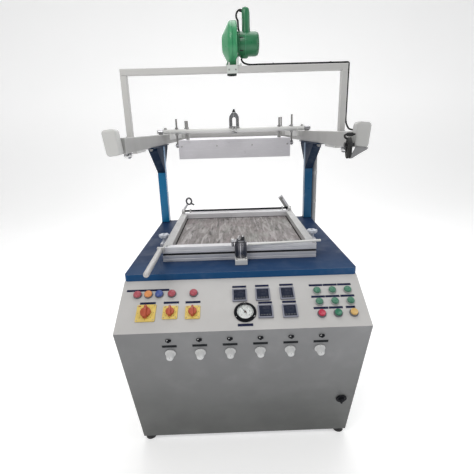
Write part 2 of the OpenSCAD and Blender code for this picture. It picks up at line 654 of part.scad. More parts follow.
module latch_body() color([0.55, 0.55, 0.57]) at() {
  box([-18, 58, T], [26, 116.5, T+20]);
  translate([4, 94.5, T+20]) cylinder(h = 4, r = 20);
  difference() {
    translate([4, 94.5, T+24]) cylinder(h = 54, r = 22);
    translate([4, 94.5, T+50]) cylinder(h = 40, r = 8.05);
  }
}
module latch_arm() color([0.66, 0.66, 0.66]) at() {
  // pin in the bore, hub, arm with its hook pin, and the cap bolts
  translate([4, 94.5, T+51]) cylinder(h = 28, r = 8);
  translate([4, 94.5, T+78.4]) cylinder(h = 7.6, r = 17);
  box([-30, 88, T+78.4], [4, 101, T+86]);
  translate([-25, 94.5, T+60]) cylinder(h = 18.5, r = 4.5);
  translate([-2, 92, T+85.9]) hexnut(7.5, 6);
  translate([-2, 92, T+91.8]) cylinder(h = 9, r = 4.2);
  box([6, 84, T+85.9], [18, 105, T+97]);
  translate([12, 90, T+96.9]) cylinder(h = 6, r = 3.4);
}

module star_knob() {
  difference() {
    union() {
      translate([0, 0, 9.4]) cylinder(h = 26, r = 9);
      translate([0, 0, 33]) cylinder(h = 15, r = 17);
      for (a = [0:60:300]) rotate([0, 0, a]) translate([16.5, 0, 33]) cylinder(h = 15, r = 6.5);
    }
    translate([0, 0, 0]) cylinder(h = 40, r = 4.05);
  }
}
module side_knob_left() color([0.82, 0.84, 0.86]) at() translate([-316, 330, T]) star_knob();
module side_knob_right() color([0.82, 0.84, 0.86]) at() translate([316, 330, T]) star_knob();

// ---- controls ----
module bezel() difference() {
  union() {
    cylinder(h = 5.5, r = bez_r);
    translate([0, 0, -22]) cylinder(h = 22, r = 11);
    translate([0, 0, -10]) difference() { cylinder(h = 6, r = 14); translate([0, 0, -1]) cylinder(h = 8, r = 11); }
  }
  translate([0, 0, 1.5]) cylinder(h = 5, r = 11.9);
  translate([0, 0, -23]) cylinder(h = 26, r = 6.3);
}
module panel_bezels() color([0.22, 0.23, 0.25]) at() {
  for (p = LAMPS) on1(p[0], p[1]) bezel();
  for (p = BUTTONS) on1(p[0], p[1]) bezel();
}
module lamp_lenses() color([0.13, 0.50, 0.36]) at()
  for (p = LAMPS) on1(p[0], p[1]) {
    translate([0, 0, 1.5]) cylinder(h = 4.5, r = 11.8);
    translate([0, 0, 5.55]) cylinder(h = 2.5, r = 13.1);
    translate([0, 0, 8.04]) intersection() {
      cylinder(h = 6, r = 13.1);
      translate([0, 0, -14]) sphere(r = 19.2);
    }
    translate([0, 0, -12]) cylinder(h = 13.5, r = 6.2);
  }
module push_cap() {
  translate([0, 0, 5.2]) cylinder(h = 5.8, r = 11.5);
  translate([0, 0, 11]) cylinder(h = 0.8, r1 = 11.5, r2 = 10.6);
  translate([0, 0, -14]) cylinder(h = 19.4, r = 6);
}
module button_red() color([0.78, 0.12, 0.24]) at() on1(BUTTONS[0][0], BUTTONS[0][1]) push_cap();
module button_green() color([0.15, 0.50, 0.40]) at() on1(BUTTONS[1][0], BUTTONS[1][1]) push_cap();
module button_yellow() color([0.86, 0.70, 0.40]) at() on1(BUTTONS[2][0], BUTTONS[2][1]) push_cap();

module cam_switch_plates() color([0.93, 0.72, 0.12]) at()
  for (p = CAMS) on1(p[0], p[1]) difference() {
    union() {
      linear_extrude(3.5) rrect(p[2], p[2], 4);
      translate([0, 0, 3.5]) cylinder(h = 2, r = p[2]*0.36);
      translate([0, 0, -3-18]) linear_extrude(18) rrect(p[2]-8, p[2]-8, 3);
    }
    translate([0, 0, -30]) cylinder(h = 60, r = 4.6);
  }
module cam_knob(w) {
  translate([0, 0, 6]) cylinder(h = 8, r = w*0.28);
  translate([-w*0.115, -w*0.36, 6]) cube([w*0.23, w*0.72, 14]);
  translate([0, 0, -18]) cylinder(h = 25, r = 4.3);
}
module cam_knob_1() color([0.80, 0.16, 0.12]) at() on1(CAMS[0][0], CAMS[0][1]) cam_knob(60);
module cam_knob_2() color([0.80, 0.16, 0.12]) at() on1(CAMS[1][0], CAMS[1][1]) cam_knob(48);
module cam_knob_3() color([0.80, 0.16, 0.12]) at() on1(CAMS[2][0], CAMS[2][1]) cam_knob(48);

module controllers() color([0.15, 0.17, 0.20]) at()
  for (p = INSTR) on1(p[0], p[1]) {
    difference() {
      linear_extrude(6) rrect(inst_s, inst_s, 2.5);
      translate([-19.5, -19.5, 4]) cube([39, 39, 4]);
    }
    translate([-22.4, -22.4, -60]) cube([44.8, 44.8, 60.01]);
    // keys
    for (i = [-1.5:1:1.5]) translate([i*9-3, -17, 3.99]) cube([6, 4, 1]);
  }

module gauge_case() color([0.10, 0.10, 0.11]) at() on1(GAUGE[0], GAUGE[1]) {
  difference() {
    union() {
      cylinder(h = 3, r = 36);
      cylinder(h = 9, r = 30);
      translate([0, 0, -30]) cylinder(h = 30, r = 26.8);
      translate([0, 0, -48]) cylinder(h = 19, r = 7);
    }
    translate([0, 0, 2.5]) cylinder(h = 10, r = 27);
    translate([0, 0, -3]) cylinder(h = 10, r = 1.6);
  }
  for (a = [90, 210, 330]) rotate([0, 0, a]) translate([32.6, 0, 3]) cylinder(h = 1.6, r = 2.2);
}
module gauge_needle() color([0.80, 0.10, 0.10]) at() on1(GAUGE[0], GAUGE[1]) {
  translate([0, 0, 4.2]) cylinder(h = 1.6, r = 3.4);
  translate([0, 0, -2.5]) cylinder(h = 7, r = 1.55);
  rotate([0, 0, 38]) translate([-0.9, -7, 4.4]) cube([1.8, 29, 1]);
}

module zone_knob() {
  translate([0, 0, 0.8]) cylinder(h = 4, r = zk_r);
  translate([0, 0, 4.8]) cylinder(h = 19, r1 = 14.5, r2 = 11.5);
  translate([-1.2, 0, 23.8]) cube([2.4, 10, 0.8]);
  translate([0, 0, -14]) cylinder(h = 15, r = 3);
}
module zone_knob_1() color([0.92, 0.92, 0.91]) at() on2(ZONES[0], zone_s) zone_knob();
module zone_knob_2() color([0.92, 0.92, 0.91]) at() on2(ZONES[1], zone_s) zone_knob();
module zone_knob_3() color([0.92, 0.92, 0.91]) at() on2(ZONES[2], zone_s) zone_knob();
module zone_knob_4() color([0.92, 0.92, 0.91]) at() on2(ZONES[3], zone_s) zone_knob();
module zone_knob_5() color([0.92, 0.92, 0.91]) at() on2(ZONES[4], zone_s) zone_knob();
module zone_knob_6() color([0.92, 0.92, 0.91]) at() on2(ZONES[5], zone_s) zone_knob();

module lock_knob() color([0.07, 0.07, 0.07]) at() on2(LOCK[0], LOCK[1]) {
  translate([0, 0, 0.5]) cylinder(h = 5, r = 19.5);
  translate([0, 0, 5.5]) cylinder(h = 6, r = 11);
  translate([-4, -14, 5.5]) cube([8, 28, 9]);
  translate([0, 0, -16]) cylinder(h = 17, r = 8);
  translate([-6, -8, -20]) cube([12, 46, 4]);
}

module label_strips() color([0.10, 0.14, 0.26]) at() {
  for (p = STRIPS1) on1((p[0]+p[1])/2, p[2]) linear_extrude(0.8) square([p[1]-p[0], p[0] == -17 ? 9 : 8], center = true);
  for (x = ZONES) on2(x, 62) linear_extrude(0.8) square([47, 10], center = true);
}

module fasteners() color([0.62, 0.62, 0.64]) at() {
  // small round fuse caps above the zone labels
  for (x = ZONES) on2(x, 34) { translate([-9, -5, 0]) cube([18, 10, 4]); translate([0, 0, 3.9]) cylinder(h = 4, r = 5); }
  // flange bolts under the beams
  both() for (y = [530, 880]) translate([380, y, beam_z-5]) {
    translate([0, 0, -7]) hexnut(9, 7);
    translate([0, 0, -12]) cylinder(h = 5, r = 5);
    translate([0, 0, -0.01]) cylinder(h = 5.01, r = 5);
  }
  // domed nuts under the beams below the arch
  both() translate([384, 160, beam_z]) mirror([0, 0, 1]) {
    cylinder(h = 4, r = 17);
    translate([0, 0, 4]) intersection() { cylinder(h = 18, r = 14.5); sphere(r = 18); }
  }
  // studs of the hold-down knobs
  for (s = [-1, 1]) translate([s*316, 330, T-3]) cylinder(h = 38, r = 4);
  // inlet gland on the back panel
  difference() {
    translate([300, top_d-3, 110]) rotate([-90, 0, 0]) { hexnut(15, 7); cylinder(h = 18, r = 10); }
    translate([300, top_d-10, 110]) rotate([-90, 0, 0]) cylinder(h = 40, r = 5);
  }
  // clips that hold the lead on the arch
  for (x = [130, 330]) difference() {
    box([x, arch_y-7, arch_z], [x+10, arch_y+7, arch_z+9]);
    xcyl(x-1, x+11, 218, 1390, 3.4);
  }
  difference() {
    box([beam_x+arch_s/2, arch_y-7, 1186], [404, arch_y+7, 1200]);
    translate([399.3, 218, 1180]) cylinder(h = 30, r = 3.6);
  }
}

feet();
bottom_plate();
side_panel_left();
side_panel_right();
back_panel();
control_panel();
lower_front_panel();
top_plate();
forming_box();
platen();
platen_cylinder();
vacuum_pump();
posts();
beams();
end_guards();
gantry();
blower_bracket();
blower_housing();
blower_impeller();
blower_trigger();
blower_lead();
wiring_conduit();
heater_shell();
heater_elements();
heater_fasteners();
carriage_frame();
front_rollers();
rear_rollers();
carriage_clevis();
lower_clamp_frame();
clamp_gasket();
upper_clamp_frame();
frame_handle();
hinge_shaft();
side_guide();
latch_body();
latch_arm();
side_knob_left();
side_knob_right();
panel_bezels();
lamp_lenses();
cam_switch_plates();
controllers();
gauge_case();
gauge_needle();
label_strips();
cam_knob_1();
cam_knob_2();
cam_knob_3();
button_red();
button_green();
button_yellow();
zone_knob_1();
zone_knob_2();
zone_knob_3();
zone_knob_4();
zone_knob_5();
zone_knob_6();
lock_knob();
fasteners();
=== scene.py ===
import json
import math
import random

import bmesh
import bpy
from mathutils import Matrix, Vector


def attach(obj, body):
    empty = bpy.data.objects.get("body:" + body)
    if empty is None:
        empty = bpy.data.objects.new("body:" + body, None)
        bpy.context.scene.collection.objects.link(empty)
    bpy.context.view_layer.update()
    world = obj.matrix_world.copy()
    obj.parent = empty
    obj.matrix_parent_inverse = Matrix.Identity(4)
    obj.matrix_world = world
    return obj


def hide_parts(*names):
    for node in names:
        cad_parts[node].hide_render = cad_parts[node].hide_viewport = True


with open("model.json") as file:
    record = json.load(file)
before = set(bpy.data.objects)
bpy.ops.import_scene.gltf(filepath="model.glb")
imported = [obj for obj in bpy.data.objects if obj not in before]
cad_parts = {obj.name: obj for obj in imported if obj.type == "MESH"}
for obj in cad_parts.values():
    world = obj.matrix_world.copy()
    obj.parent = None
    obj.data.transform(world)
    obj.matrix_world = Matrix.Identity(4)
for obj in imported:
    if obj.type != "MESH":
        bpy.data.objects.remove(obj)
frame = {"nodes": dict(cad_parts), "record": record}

random.seed(7)
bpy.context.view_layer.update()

# --------------------------------------------------------------------------
# Coordinates. TAB is the table frame in millimetres: y from the front edge of
# the table top, z from its surface. P1 and P2 stand on the two sloped panels.
# --------------------------------------------------------------------------
S = Matrix.Scale(0.001, 4)
TAB = Matrix.Translation((0, -0.585, 0.710)) @ S
OUT, DROP, ZL, H0 = 172.0, 100.0, 686.0, 22.0
_l1 = math.hypot(OUT, DROP)
E1 = (-OUT / _l1, -DROP / _l1)
_l2 = math.hypot(OUT, ZL - DROP - H0)
E2 = (OUT / _l2, -(ZL - DROP - H0) / _l2)
N1 = (E1[1], -E1[0])
N2 = (E2[1], -E2[0])
A1 = math.atan2(-N1[0], N1[1])
A2 = math.atan2(-N2[0], N2[1])


def P1(x, s):
    return (Matrix.Translation((x / 1000, (E1[0] * s - 585) / 1000, (ZL + E1[1] * s) / 1000))
            @ Matrix.Rotation(A1, 4, "X") @ S)


def P2(x, s):
    return (Matrix.Translation((x / 1000, (-OUT + E2[0] * s - 585) / 1000, (ZL - DROP + E2[1] * s) / 1000))
            @ Matrix.Rotation(A2, 4, "X") @ S)


def at(x, y, z, rx=0.0, ry=0.0, rz=0.0):
    """A local frame in millimetres at a table point, turned by degrees."""
    return (TAB @ Matrix.Translation((x, y, z)) @ Matrix.Rotation(math.radians(rz), 4, "Z")
            @ Matrix.Rotation(math.radians(ry), 4, "Y") @ Matrix.Rotation(math.radians(rx), 4, "X"))


XAX = Matrix.Rotation(math.radians(90), 4, "Y")      # local z to +X
YAX = Matrix.Rotation(math.radians(-90), 4, "X")     # local z to +Y


# --------------------------------------------------------------------------
# Materials
# --------------------------------------------------------------------------
def _coords(nt, scale, rot=(0, 0, 0)):
    tc = nt.nodes.new("ShaderNodeTexCoord")
    mp = nt.nodes.new("ShaderNodeMapping")
    mp.inputs["Scale"].default_value = scale
    mp.inputs["Rotation"].default_value = rot
    nt.links.new(tc.outputs["Object"], mp.inputs["Vector"])
    return mp.outputs["Vector"]


def _tex(nt, kind, scale, stretch=(1, 1, 1), detail=3.0, rough=0.5, rot=(0, 0, 0), dist=0.0):
    v = _coords(nt, stretch, rot)
    if kind == "noise":
        n = nt.nodes.new("ShaderNodeTexNoise")
        n.inputs["Scale"].default_value = scale
        n.inputs["Detail"].default_value = detail
        n.inputs["Roughness"].default_value = rough
        n.inputs["Distortion"].default_value = dist
        out = n.outputs["Fac"]
    elif kind == "cells":
        n = nt.nodes.new("ShaderNodeTexVoronoi")
        n.inputs["Scale"].default_value = scale
        out = nt.nodes.new("ShaderNodeSeparateColor")
        nt.links.new(n.outputs["Color"], out.inputs["Color"])
        nt.links.new(v, n.inputs["Vector"])
        return out.outputs[0]
    elif kind == "voronoi":
        n = nt.nodes.new("ShaderNodeTexVoronoi")
        n.inputs["Scale"].default_value = scale
        out = n.outputs["Distance"]
    else:
        n = nt.nodes.new("ShaderNodeTexWave")
        n.wave_type = "BANDS"
        n.bands_direction = {"wavex": "X", "wavey": "Y", "wavez": "Z"}[kind]
        n.inputs["Scale"].default_value = scale
        n.inputs["Distortion"].default_value = dist
        n.inputs["Detail"].default_value = detail
        out = n.outputs["Fac"]
    nt.links.new(v, n.inputs["Vector"])
    return out


def _ramp(nt, src, lo, hi, a=0.0, b=1.0):
    m = nt.nodes.new("ShaderNodeMapRange")
    m.clamp = True
    m.interpolation_type = "SMOOTHSTEP"
    m.inputs["From Min"].default_value = lo
    m.inputs["From Max"].default_value = hi
    m.inputs["To Min"].default_value = a
    m.inputs["To Max"].default_value = b
    nt.links.new(src, m.inputs["Value"])
    return m.outputs["Result"]


def mat(name, base, rough=0.5, metal=0.0, vary=(), rvary=(), bump=(), coat=0.0, trans=0.0,
        emit=None, sub=0.0, aniso=0.0, spec=0.5, ior=1.5, alpha=1.0, gradient=None):
    """vary: (kind, scale, stretch, colour, low, high, amount[, extra]); rvary: (kind, scale,
    stretch, low, high, change); bump: (kind, scale, stretch, strength, distance_m)."""
    m = bpy.data.materials.new(name)
    m.use_nodes = True
    nt = m.node_tree
    p = nt.nodes["Principled BSDF"]
    p.inputs["Roughness"].default_value = rough
    p.inputs["Metallic"].default_value = metal
    p.inputs["Coat Weight"].default_value = coat
    p.inputs["Coat Roughness"].default_value = 0.12
    p.inputs["Transmission Weight"].default_value = trans
    p.inputs["IOR"].default_value = ior
    p.inputs["Specular IOR Level"].default_value = spec
    p.inputs["Alpha"].default_value = alpha
    if aniso:
        p.inputs["Anisotropic"].default_value = aniso
    if sub:
        p.inputs["Subsurface Weight"].default_value = sub
        p.inputs["Subsurface Radius"].default_value = (0.004, 0.003, 0.002)
    if emit:
        p.inputs["Emission Color"].default_value = (*emit[:3], 1)
        p.inputs["Emission Strength"].default_value = emit[3]
    cur = None
    for row in vary:
        kind, scale, stretch, col, lo, hi, amount = row[:7]
        extra = row[7] if len(row) > 7 else {}
        fac = _ramp(nt, _tex(nt, kind, scale, stretch, **extra), lo, hi, 0.0, amount)
        mx = nt.nodes.new("ShaderNodeMix")
        mx.data_type = "RGBA"
        if cur is None:
            mx.inputs["A"].default_value = (*base, 1)
        else:
            nt.links.new(cur, mx.inputs["A"])
        mx.inputs["B"].default_value = (*col, 1)
        nt.links.new(fac, mx.inputs["Factor"])
        cur = mx.outputs["Result"]
    for axis, lo, hi, col, amount in gradient or ():
        sp = nt.nodes.new("ShaderNodeSeparateXYZ")
        nt.links.new(_coords(nt, (1, 1, 1)), sp.inputs["Vector"])
        fac = _ramp(nt, sp.outputs[axis], lo, hi, amount, 0.0)
        mx = nt.nodes.new("ShaderNodeMix")
        mx.data_type = "RGBA"
        if cur is None:
            mx.inputs["A"].default_value = (*base, 1)
        else:
            nt.links.new(cur, mx.inputs["A"])
        mx.inputs["B"].default_value = (*col, 1)
        nt.links.new(fac, mx.inputs["Factor"])
        cur = mx.outputs["Result"]
    if cur is None:
        p.inputs["Base Color"].default_value = (*base, 1)
    else:
        nt.links.new(cur, p.inputs["Base Color"])
    if rvary:
        kind, scale, stretch, lo, hi, change = rvary
        r = _ramp(nt, _tex(nt, kind, scale, stretch), lo, hi, max(rough - change, 0.03), min(rough + change, 1.0))
        nt.links.new(r, p.inputs["Roughness"])
    prev = None
    for kind, scale, stretch, strength, distance in bump:
        b = nt.nodes.new("ShaderNodeBump")
        b.inputs["Strength"].default_value = strength
        b.inputs["Distance"].default_value = distance
        nt.links.new(_tex(nt, kind, scale, stretch), b.inputs["Height"])
        if prev:
            nt.links.new(prev, b.inputs["Normal"])
        prev = b.outputs["Normal"]
    if prev:
        nt.links.new(prev, p.inputs["Normal"])
    return m


def dark(c, k):
    return tuple(v * k for v in c)


def mixc(a, b, t):
    return tuple(x * (1 - t) + y * t for x, y in zip(a, b))


def enamel(name, base, rough=0.38, coat=0.25, grime=0.12, worn=(0.55, 0.55, 0.55), **k):
    """Brushed or sprayed machine enamel and, for its edges, a lighter copy of the same paint: painted highlight, with
    patches worn thin.
    """
    body = mat(name, base, rough, coat=coat,
               vary=[("noise", 2.2, (1, 1, 1), dark(base, 0.84), 0.35, 0.75, 0.55),
                     ("noise", 14, (1, 1, 1), mixc(base, (1, 1, 1), 0.10), 0.45, 0.8, 0.4),
                     ("noise", 60, (1, 1, 1), dark(base, 0.72), 0.60, 0.78, grime, {"detail": 6.0})],
               rvary=("noise", 9, (1, 1, 1), 0.3, 0.7, 0.07),
               bump=[("noise", 700, (1, 1, 1), 0.10, 0.0004), ("noise", 60, (1, 1, 1), 0.04, 0.0010)], **k)
    edge = mat(name + "_edge", mixc(base, (1, 1, 1), 0.10), rough + 0.05, coat=coat * 0.6,
               vary=[("noise", 90, (1, 1, 1), worn, 0.60, 0.68, 0.75, {"detail": 5.0}),
                     ("noise", 12, (1, 1, 1), mixc(base, (1, 1, 1), 0.25), 0.4, 0.7, 0.5)],
               bump=[("noise", 500, (1, 1, 1), 0.12, 0.0005)])
    return body, edge


def metal(name, base, rough=0.35, stretch=(1, 1, 1), streak=220.0, aniso=0.0, grime=0.25, m=0.9, **k):
    return mat(name, base, rough, m, aniso=aniso,
               vary=[("noise", 5, (1, 1, 1), dark(base, 0.80), 0.4, 0.7, 0.5),
                     ("noise", streak, stretch, mixc(base, (1, 1, 1), 0.25), 0.45, 0.75, 0.45, {"detail": 5.0}),
                     ("noise", 45, (1, 1, 1), dark(base, 0.55), 0.62, 0.8, grime, {"detail": 6.0})],
               rvary=("noise", 18, (1, 1, 1), 0.3, 0.7, 0.10),
               bump=[("noise", streak * 2, stretch, 0.10, 0.0003)], **k)


def plastic(name, base, rough=0.4, grain=1400.0, strength=0.12, coat=0.0, **k):
    k.setdefault("vary", [("noise", 20, (1, 1, 1), dark(base, 0.82), 0.4, 0.75, 0.45),
                          ("noise", 120, (1, 1, 1), mixc(base, (1, 1, 1), 0.12), 0.55, 0.8, 0.35)])
    return mat(name, base, rough, coat=coat, rvary=("noise", 40, (1, 1, 1), 0.3, 0.7, 0.06),
               bump=[("noise", grain, (1, 1, 1), strength, 0.00025)], **k)


C = {}
C["cab"], C["cab_e"] = enamel("enamel_light_grey", (0.53, 0.52, 0.51), 0.46, coat=0.08)
C["side"], C["side_e"] = enamel("enamel_side_grey", (0.46, 0.465, 0.455), 0.46, coat=0.10)
# lower front: a darker copy of the panel grey, darkened further towards the bottom and towards the left, all painted
# shade
C["front"], C["front_e"] = enamel("enamel_front_grey_painted_shade", (0.228, 0.230, 0.237), 0.46, coat=0.04,
                                  gradient=[("Z", 0.02, 0.60, (0.046, 0.050, 0.045), 0.88), ("X", -0.42, -0.05, (0.085, 0.088, 0.084), 0.25)])
C["top"], C["top_e"] = enamel("enamel_table_navy", (0.013, 0.034, 0.092), 0.50, coat=0.0, spec=0.08, worn=(0.06, 0.14, 0.26),
                                  gradient=[("Y", -0.60, -0.40, (0.012, 0.060, 0.160), 0.6)])
C["lip"], C["lip_e"] = enamel("enamel_lip_blue", (0.007, 0.070, 0.195), 0.38, coat=0.0, spec=0.15, worn=(0.06, 0.20, 0.38))
C["post"], C["post_e"] = enamel("enamel_post_blue", (0.005, 0.165, 0.365), 0.30, coat=0.15, spec=0.35, worn=(0.08, 0.30, 0.50))
C["post_r"], C["post_re"] = enamel("enamel_post_shade", (0.004, 0.085, 0.200), 0.34, coat=0.1, spec=0.3, worn=(0.05, 0.20, 0.36))
# knee blue: the post blue darkened to near black, painted shade under the beams
C["knee"], C["knee_e"] = enamel("enamel_knee_blue_painted_shade", (0.006, 0.020, 0.050), 0.55, coat=0.0, spec=0.05, worn=(0.012, 0.05, 0.11))
# beam grey: darker towards the left beam, painted shade
C["beam"], C["beam_e"] = enamel("enamel_beam_grey", (0.44, 0.435, 0.425), 0.44, coat=0.05, grime=0.35,
                                    gradient=[("X", -0.45, -0.28, (0.33, 0.33, 0.325), 0.6)])
# arch grey: lighter towards the left, painted light
C["arch"], C["arch_e"] = enamel("enamel_arch_grey", (0.52, 0.515, 0.505), 0.44, coat=0.08, grime=0.3, gradient=[("X", -0.20, 0.36, (0.60, 0.595, 0.58), 1.0)])
C["white"], C["white_e"] = enamel("enamel_white", (0.74, 0.74, 0.72), 0.40, grime=0.25)
C["brk"], C["brk_e"] = enamel("enamel_bracket_white", (0.66, 0.70, 0.665), 0.42)
# guard grey: lighter towards the left guard, painted light
C["guard"], C["guard_e"] = enamel("enamel_guard", (0.50, 0.50, 0.49), 0.44, coat=0.08,
                                      gradient=[("X", -0.30, 0.30, (0.62, 0.62, 0.605), 1.0)])
# apron grey: a darker copy of the guard grey, painted shade
C["guard_d"], C["guard_de"] = enamel("enamel_guard_apron_painted_shade", (0.235, 0.235, 0.240), 0.46, coat=0.05)
C["pump"], C["pump_e"] = enamel("enamel_pump_blue", (0.03, 0.10, 0.26), 0.35)
C["weld"] = metal("weld_bead", (0.30, 0.30, 0.31), 0.5, m=0.6)
C["galv"] = mat("galvanised", (0.50, 0.50, 0.52), 0.42, 0.85,
                vary=[("cells", 90, (1, 1, 1), (0.38, 0.38, 0.40), 0.2, 0.9, 0.6),
                      ("noise", 6, (1, 1, 1), (0.62, 0.61, 0.65), 0.4, 0.7, 0.5)],
                rvary=("cells", 90, (1, 1, 1), 0.1, 0.9, 0.12),
                bump=[("noise", 300, (1, 1, 1), 0.08, 0.0005)])
C["heater"] = mat("heater_sheet", (0.80, 0.785, 0.82), 0.42, 0.45,
                  vary=[("noise", 3, (1, 1, 1), (0.68, 0.66, 0.70), 0.35, 0.75, 0.6),
                        ("noise", 120, (0.25, 1, 1), (0.88, 0.87, 0.91), 0.5, 0.8, 0.5, {"detail": 5.0}),
                        ("noise", 30, (1, 1, 1), (0.34, 0.30, 0.30), 0.64, 0.82, 0.5, {"detail": 6.0})],
                  rvary=("noise", 12, (1, 1, 1), 0.3, 0.7, 0.10),
                  bump=[("noise", 14, (1, 1, 1), 0.18, 0.004), ("noise", 400, (1, 1, 1), 0.06, 0.0004)])
C["bed"] = mat("bed_sheet", (0.235, 0.215, 0.210), 0.50, 0.35,
               vary=[("noise", 15, (3.2, 0.40, 1), (0.50, 0.475, 0.475), 0.46, 0.66, 0.85, {"detail": 4.0, "dist": 0.9, "rough": 0.55}),
                     ("noise", 6, (1, 1, 1), (0.33, 0.275, 0.28), 0.42, 0.68, 0.55),
                     ("noise", 9, (1.2, 0.7, 1), (0.30, 0.315, 0.29), 0.50, 0.72, 0.5),
                     ("noise", 26, (2.4, 0.36, 1), (0.075, 0.070, 0.070), 0.53, 0.68, 0.80, {"detail": 5.0, "dist": 1.0, "rough": 0.6})],
               rvary=("noise", 50, (2, 0.5, 1), 0.3, 0.7, 0.14),
               bump=[("noise", 70, (2.2, 0.4, 1), 0.16, 0.0010)])
# the rails along Y, the handle, its elbow and the hinge lugs take a darker copy of the same aluminium, painted shade
C["alu"] = metal("rail_aluminium", (0.78, 0.775, 0.80), 0.42, (0.12, 1, 1), 260, m=0.40, grime=0.35)
C["alu_y"] = metal("rail_aluminium_y_painted_shade", (0.54, 0.535, 0.53), 0.44, (1, 0.12, 1), 260, m=0.40, grime=0.40)
C["zinc"] = metal("zinc_steel", (0.46, 0.455, 0.45), 0.38, m=0.85)
C["rodm"] = metal("rod_steel", (0.30, 0.295, 0.285), 0.42, m=0.85, grime=0.45)
C["steel"] = metal("turned_steel", (0.50, 0.50, 0.52), 0.26, (1, 1, 6), 300, m=0.95)
C["gun"] = metal("gun_steel", (0.20, 0.20, 0.215), 0.28, (1, 1, 5), 260, m=0.95)
# dark steel with light and dark vertical streaks painted as reflections
C["barrel"] = mat("barrel_steel_painted_reflections", (0.15, 0.15, 0.165), 0.32, 0.8,
                  vary=[("noise", 60, (3.0, 3.0, 0.05), (0.62, 0.62, 0.66), 0.56, 0.66, 0.85, {"detail": 3.0}),
                        ("noise", 90, (2.5, 2.5, 0.06), (0.030, 0.030, 0.034), 0.52, 0.64, 0.8, {"detail": 3.0})],
                  rvary=("noise", 40, (3, 3, 0.1), 0.3, 0.7, 0.10), bump=[("noise", 120, (3, 3, 0.05), 0.12, 0.0004)])
C["chrome"] = mat("polished", (0.72, 0.72, 0.73), 0.14, 1.0,
                  vary=[("noise", 26, (1, 1, 1), (0.52, 0.52, 0.54), 0.5, 0.75, 0.5)],
                  rvary=("noise", 60, (1, 1, 1), 0.3, 0.7, 0.06), bump=[("noise", 90, (1, 1, 1), 0.05, 0.0006)])
C["rubber"] = plastic("black_rubber", (0.018, 0.018, 0.019), 0.72, 600, 0.25)
C["gasket"] = plastic("seal_rubber", (0.014, 0.014, 0.016), 0.65, 500, 0.3)
C["black"] = plastic("black_plastic", (0.016, 0.016, 0.018), 0.42, 1500, 0.2)
C["blackgloss"] = plastic("black_gloss", (0.012, 0.012, 0.014), 0.16, 900, 0.03, coat=0.4)
C["flatblack"] = plastic("flat_black", (0.010, 0.011, 0.014), 0.60, 900, 0.1, spec=0.08)
C["darkgrey"] = plastic("dark_grey_plastic", (0.060, 0.066, 0.080), 0.45)
C["bezelgrey"] = plastic("bezel_grey_plastic", (0.150, 0.155, 0.175), 0.46)
C["caselav"] = plastic("case_lavender_grey", (0.225, 0.232, 0.285), 0.55)
C["bezel_l"] = plastic("bezel_pale", (0.42, 0.43, 0.43), 0.5)
C["greyplastic"] = plastic("grey_plastic", (0.30, 0.305, 0.31), 0.5)
C["conduit"] = plastic("conduit_grey", (0.33, 0.33, 0.335), 0.55, 700, 0.2)
# motor, grip and neck green: a darker copy of the blower plastic, painted shade
C["green"] = mat("blower_green", (0.026, 0.185, 0.080), 0.34, coat=0.22,
                 vary=[("noise", 16, (1, 1, 1), (0.018, 0.125, 0.055), 0.40, 0.72, 0.7),
                       ("noise", 70, (1, 1, 1), (0.050, 0.26, 0.125), 0.55, 0.8, 0.4),
                       ("noise", 220, (1, 1, 1), (0.10, 0.21, 0.13), 0.66, 0.8, 0.35, {"detail": 6.0})],
                 rvary=("noise", 30, (1, 1, 1), 0.3, 0.7, 0.07),
                 bump=[("noise", 1300, (1, 1, 1), 0.10, 0.0003)])
# scroll green: a lighter copy of the same plastic, painted light
C["green_d"] = mat("blower_drum_green_painted_light", (0.050, 0.330, 0.140), 0.34, coat=0.25,
                   vary=[("noise", 14, (1, 1, 1), (0.032, 0.220, 0.095), 0.40, 0.72, 0.65),
                         ("noise", 70, (1, 1, 1), (0.090, 0.42, 0.20), 0.55, 0.8, 0.4),
                         ("noise", 220, (1, 1, 1), (0.16, 0.30, 0.19), 0.66, 0.8, 0.35, {"detail": 6.0})],
                   rvary=("noise", 30, (1, 1, 1), 0.3, 0.7, 0.07),
                   bump=[("noise", 1300, (1, 1, 1), 0.10, 0.0003)])
C["nozzle"] = plastic("nozzle_grey_green", (0.040, 0.058, 0.050), 0.45)
# lighter green for seams, rims and edges: a painted highlight
C["green_e"] = mat("blower_green_painted_highlight", (0.05, 0.30, 0.15), 0.34, coat=0.3,
                   vary=[("noise", 120, (1, 1, 1), (0.14, 0.36, 0.22), 0.5, 0.75, 0.6)],
                   bump=[("noise", 1300, (1, 1, 1), 0.10, 0.0003)])
C["ceramic"] = mat("ceramic_glaze", (0.80, 0.76, 0.68), 0.28, coat=0.4,
                   vary=[("noise", 12, (1, 1, 1), (0.62, 0.56, 0.46), 0.5, 0.8, 0.5),
                         ("noise", 70, (1, 1, 1), (0.88, 0.86, 0.80), 0.45, 0.8, 0.4)],
                   bump=[("noise", 300, (1, 1, 1), 0.08, 0.0006)])


def lens(name, base, hot):
    return mat(name, base, 0.34, coat=0.10, sub=0.05, spec=0.30, emit=(*hot, 0.03),
               vary=[("voronoi", 420, (1, 1, 1), mixc(base, (1, 1, 1), 0.16), 0.1, 0.7, 0.55),
                     ("noise", 90, (1, 1, 1), dark(base, 0.7), 0.5, 0.8, 0.35)],
               bump=[("voronoi", 420, (1, 1, 1), 0.30, 0.0006)])


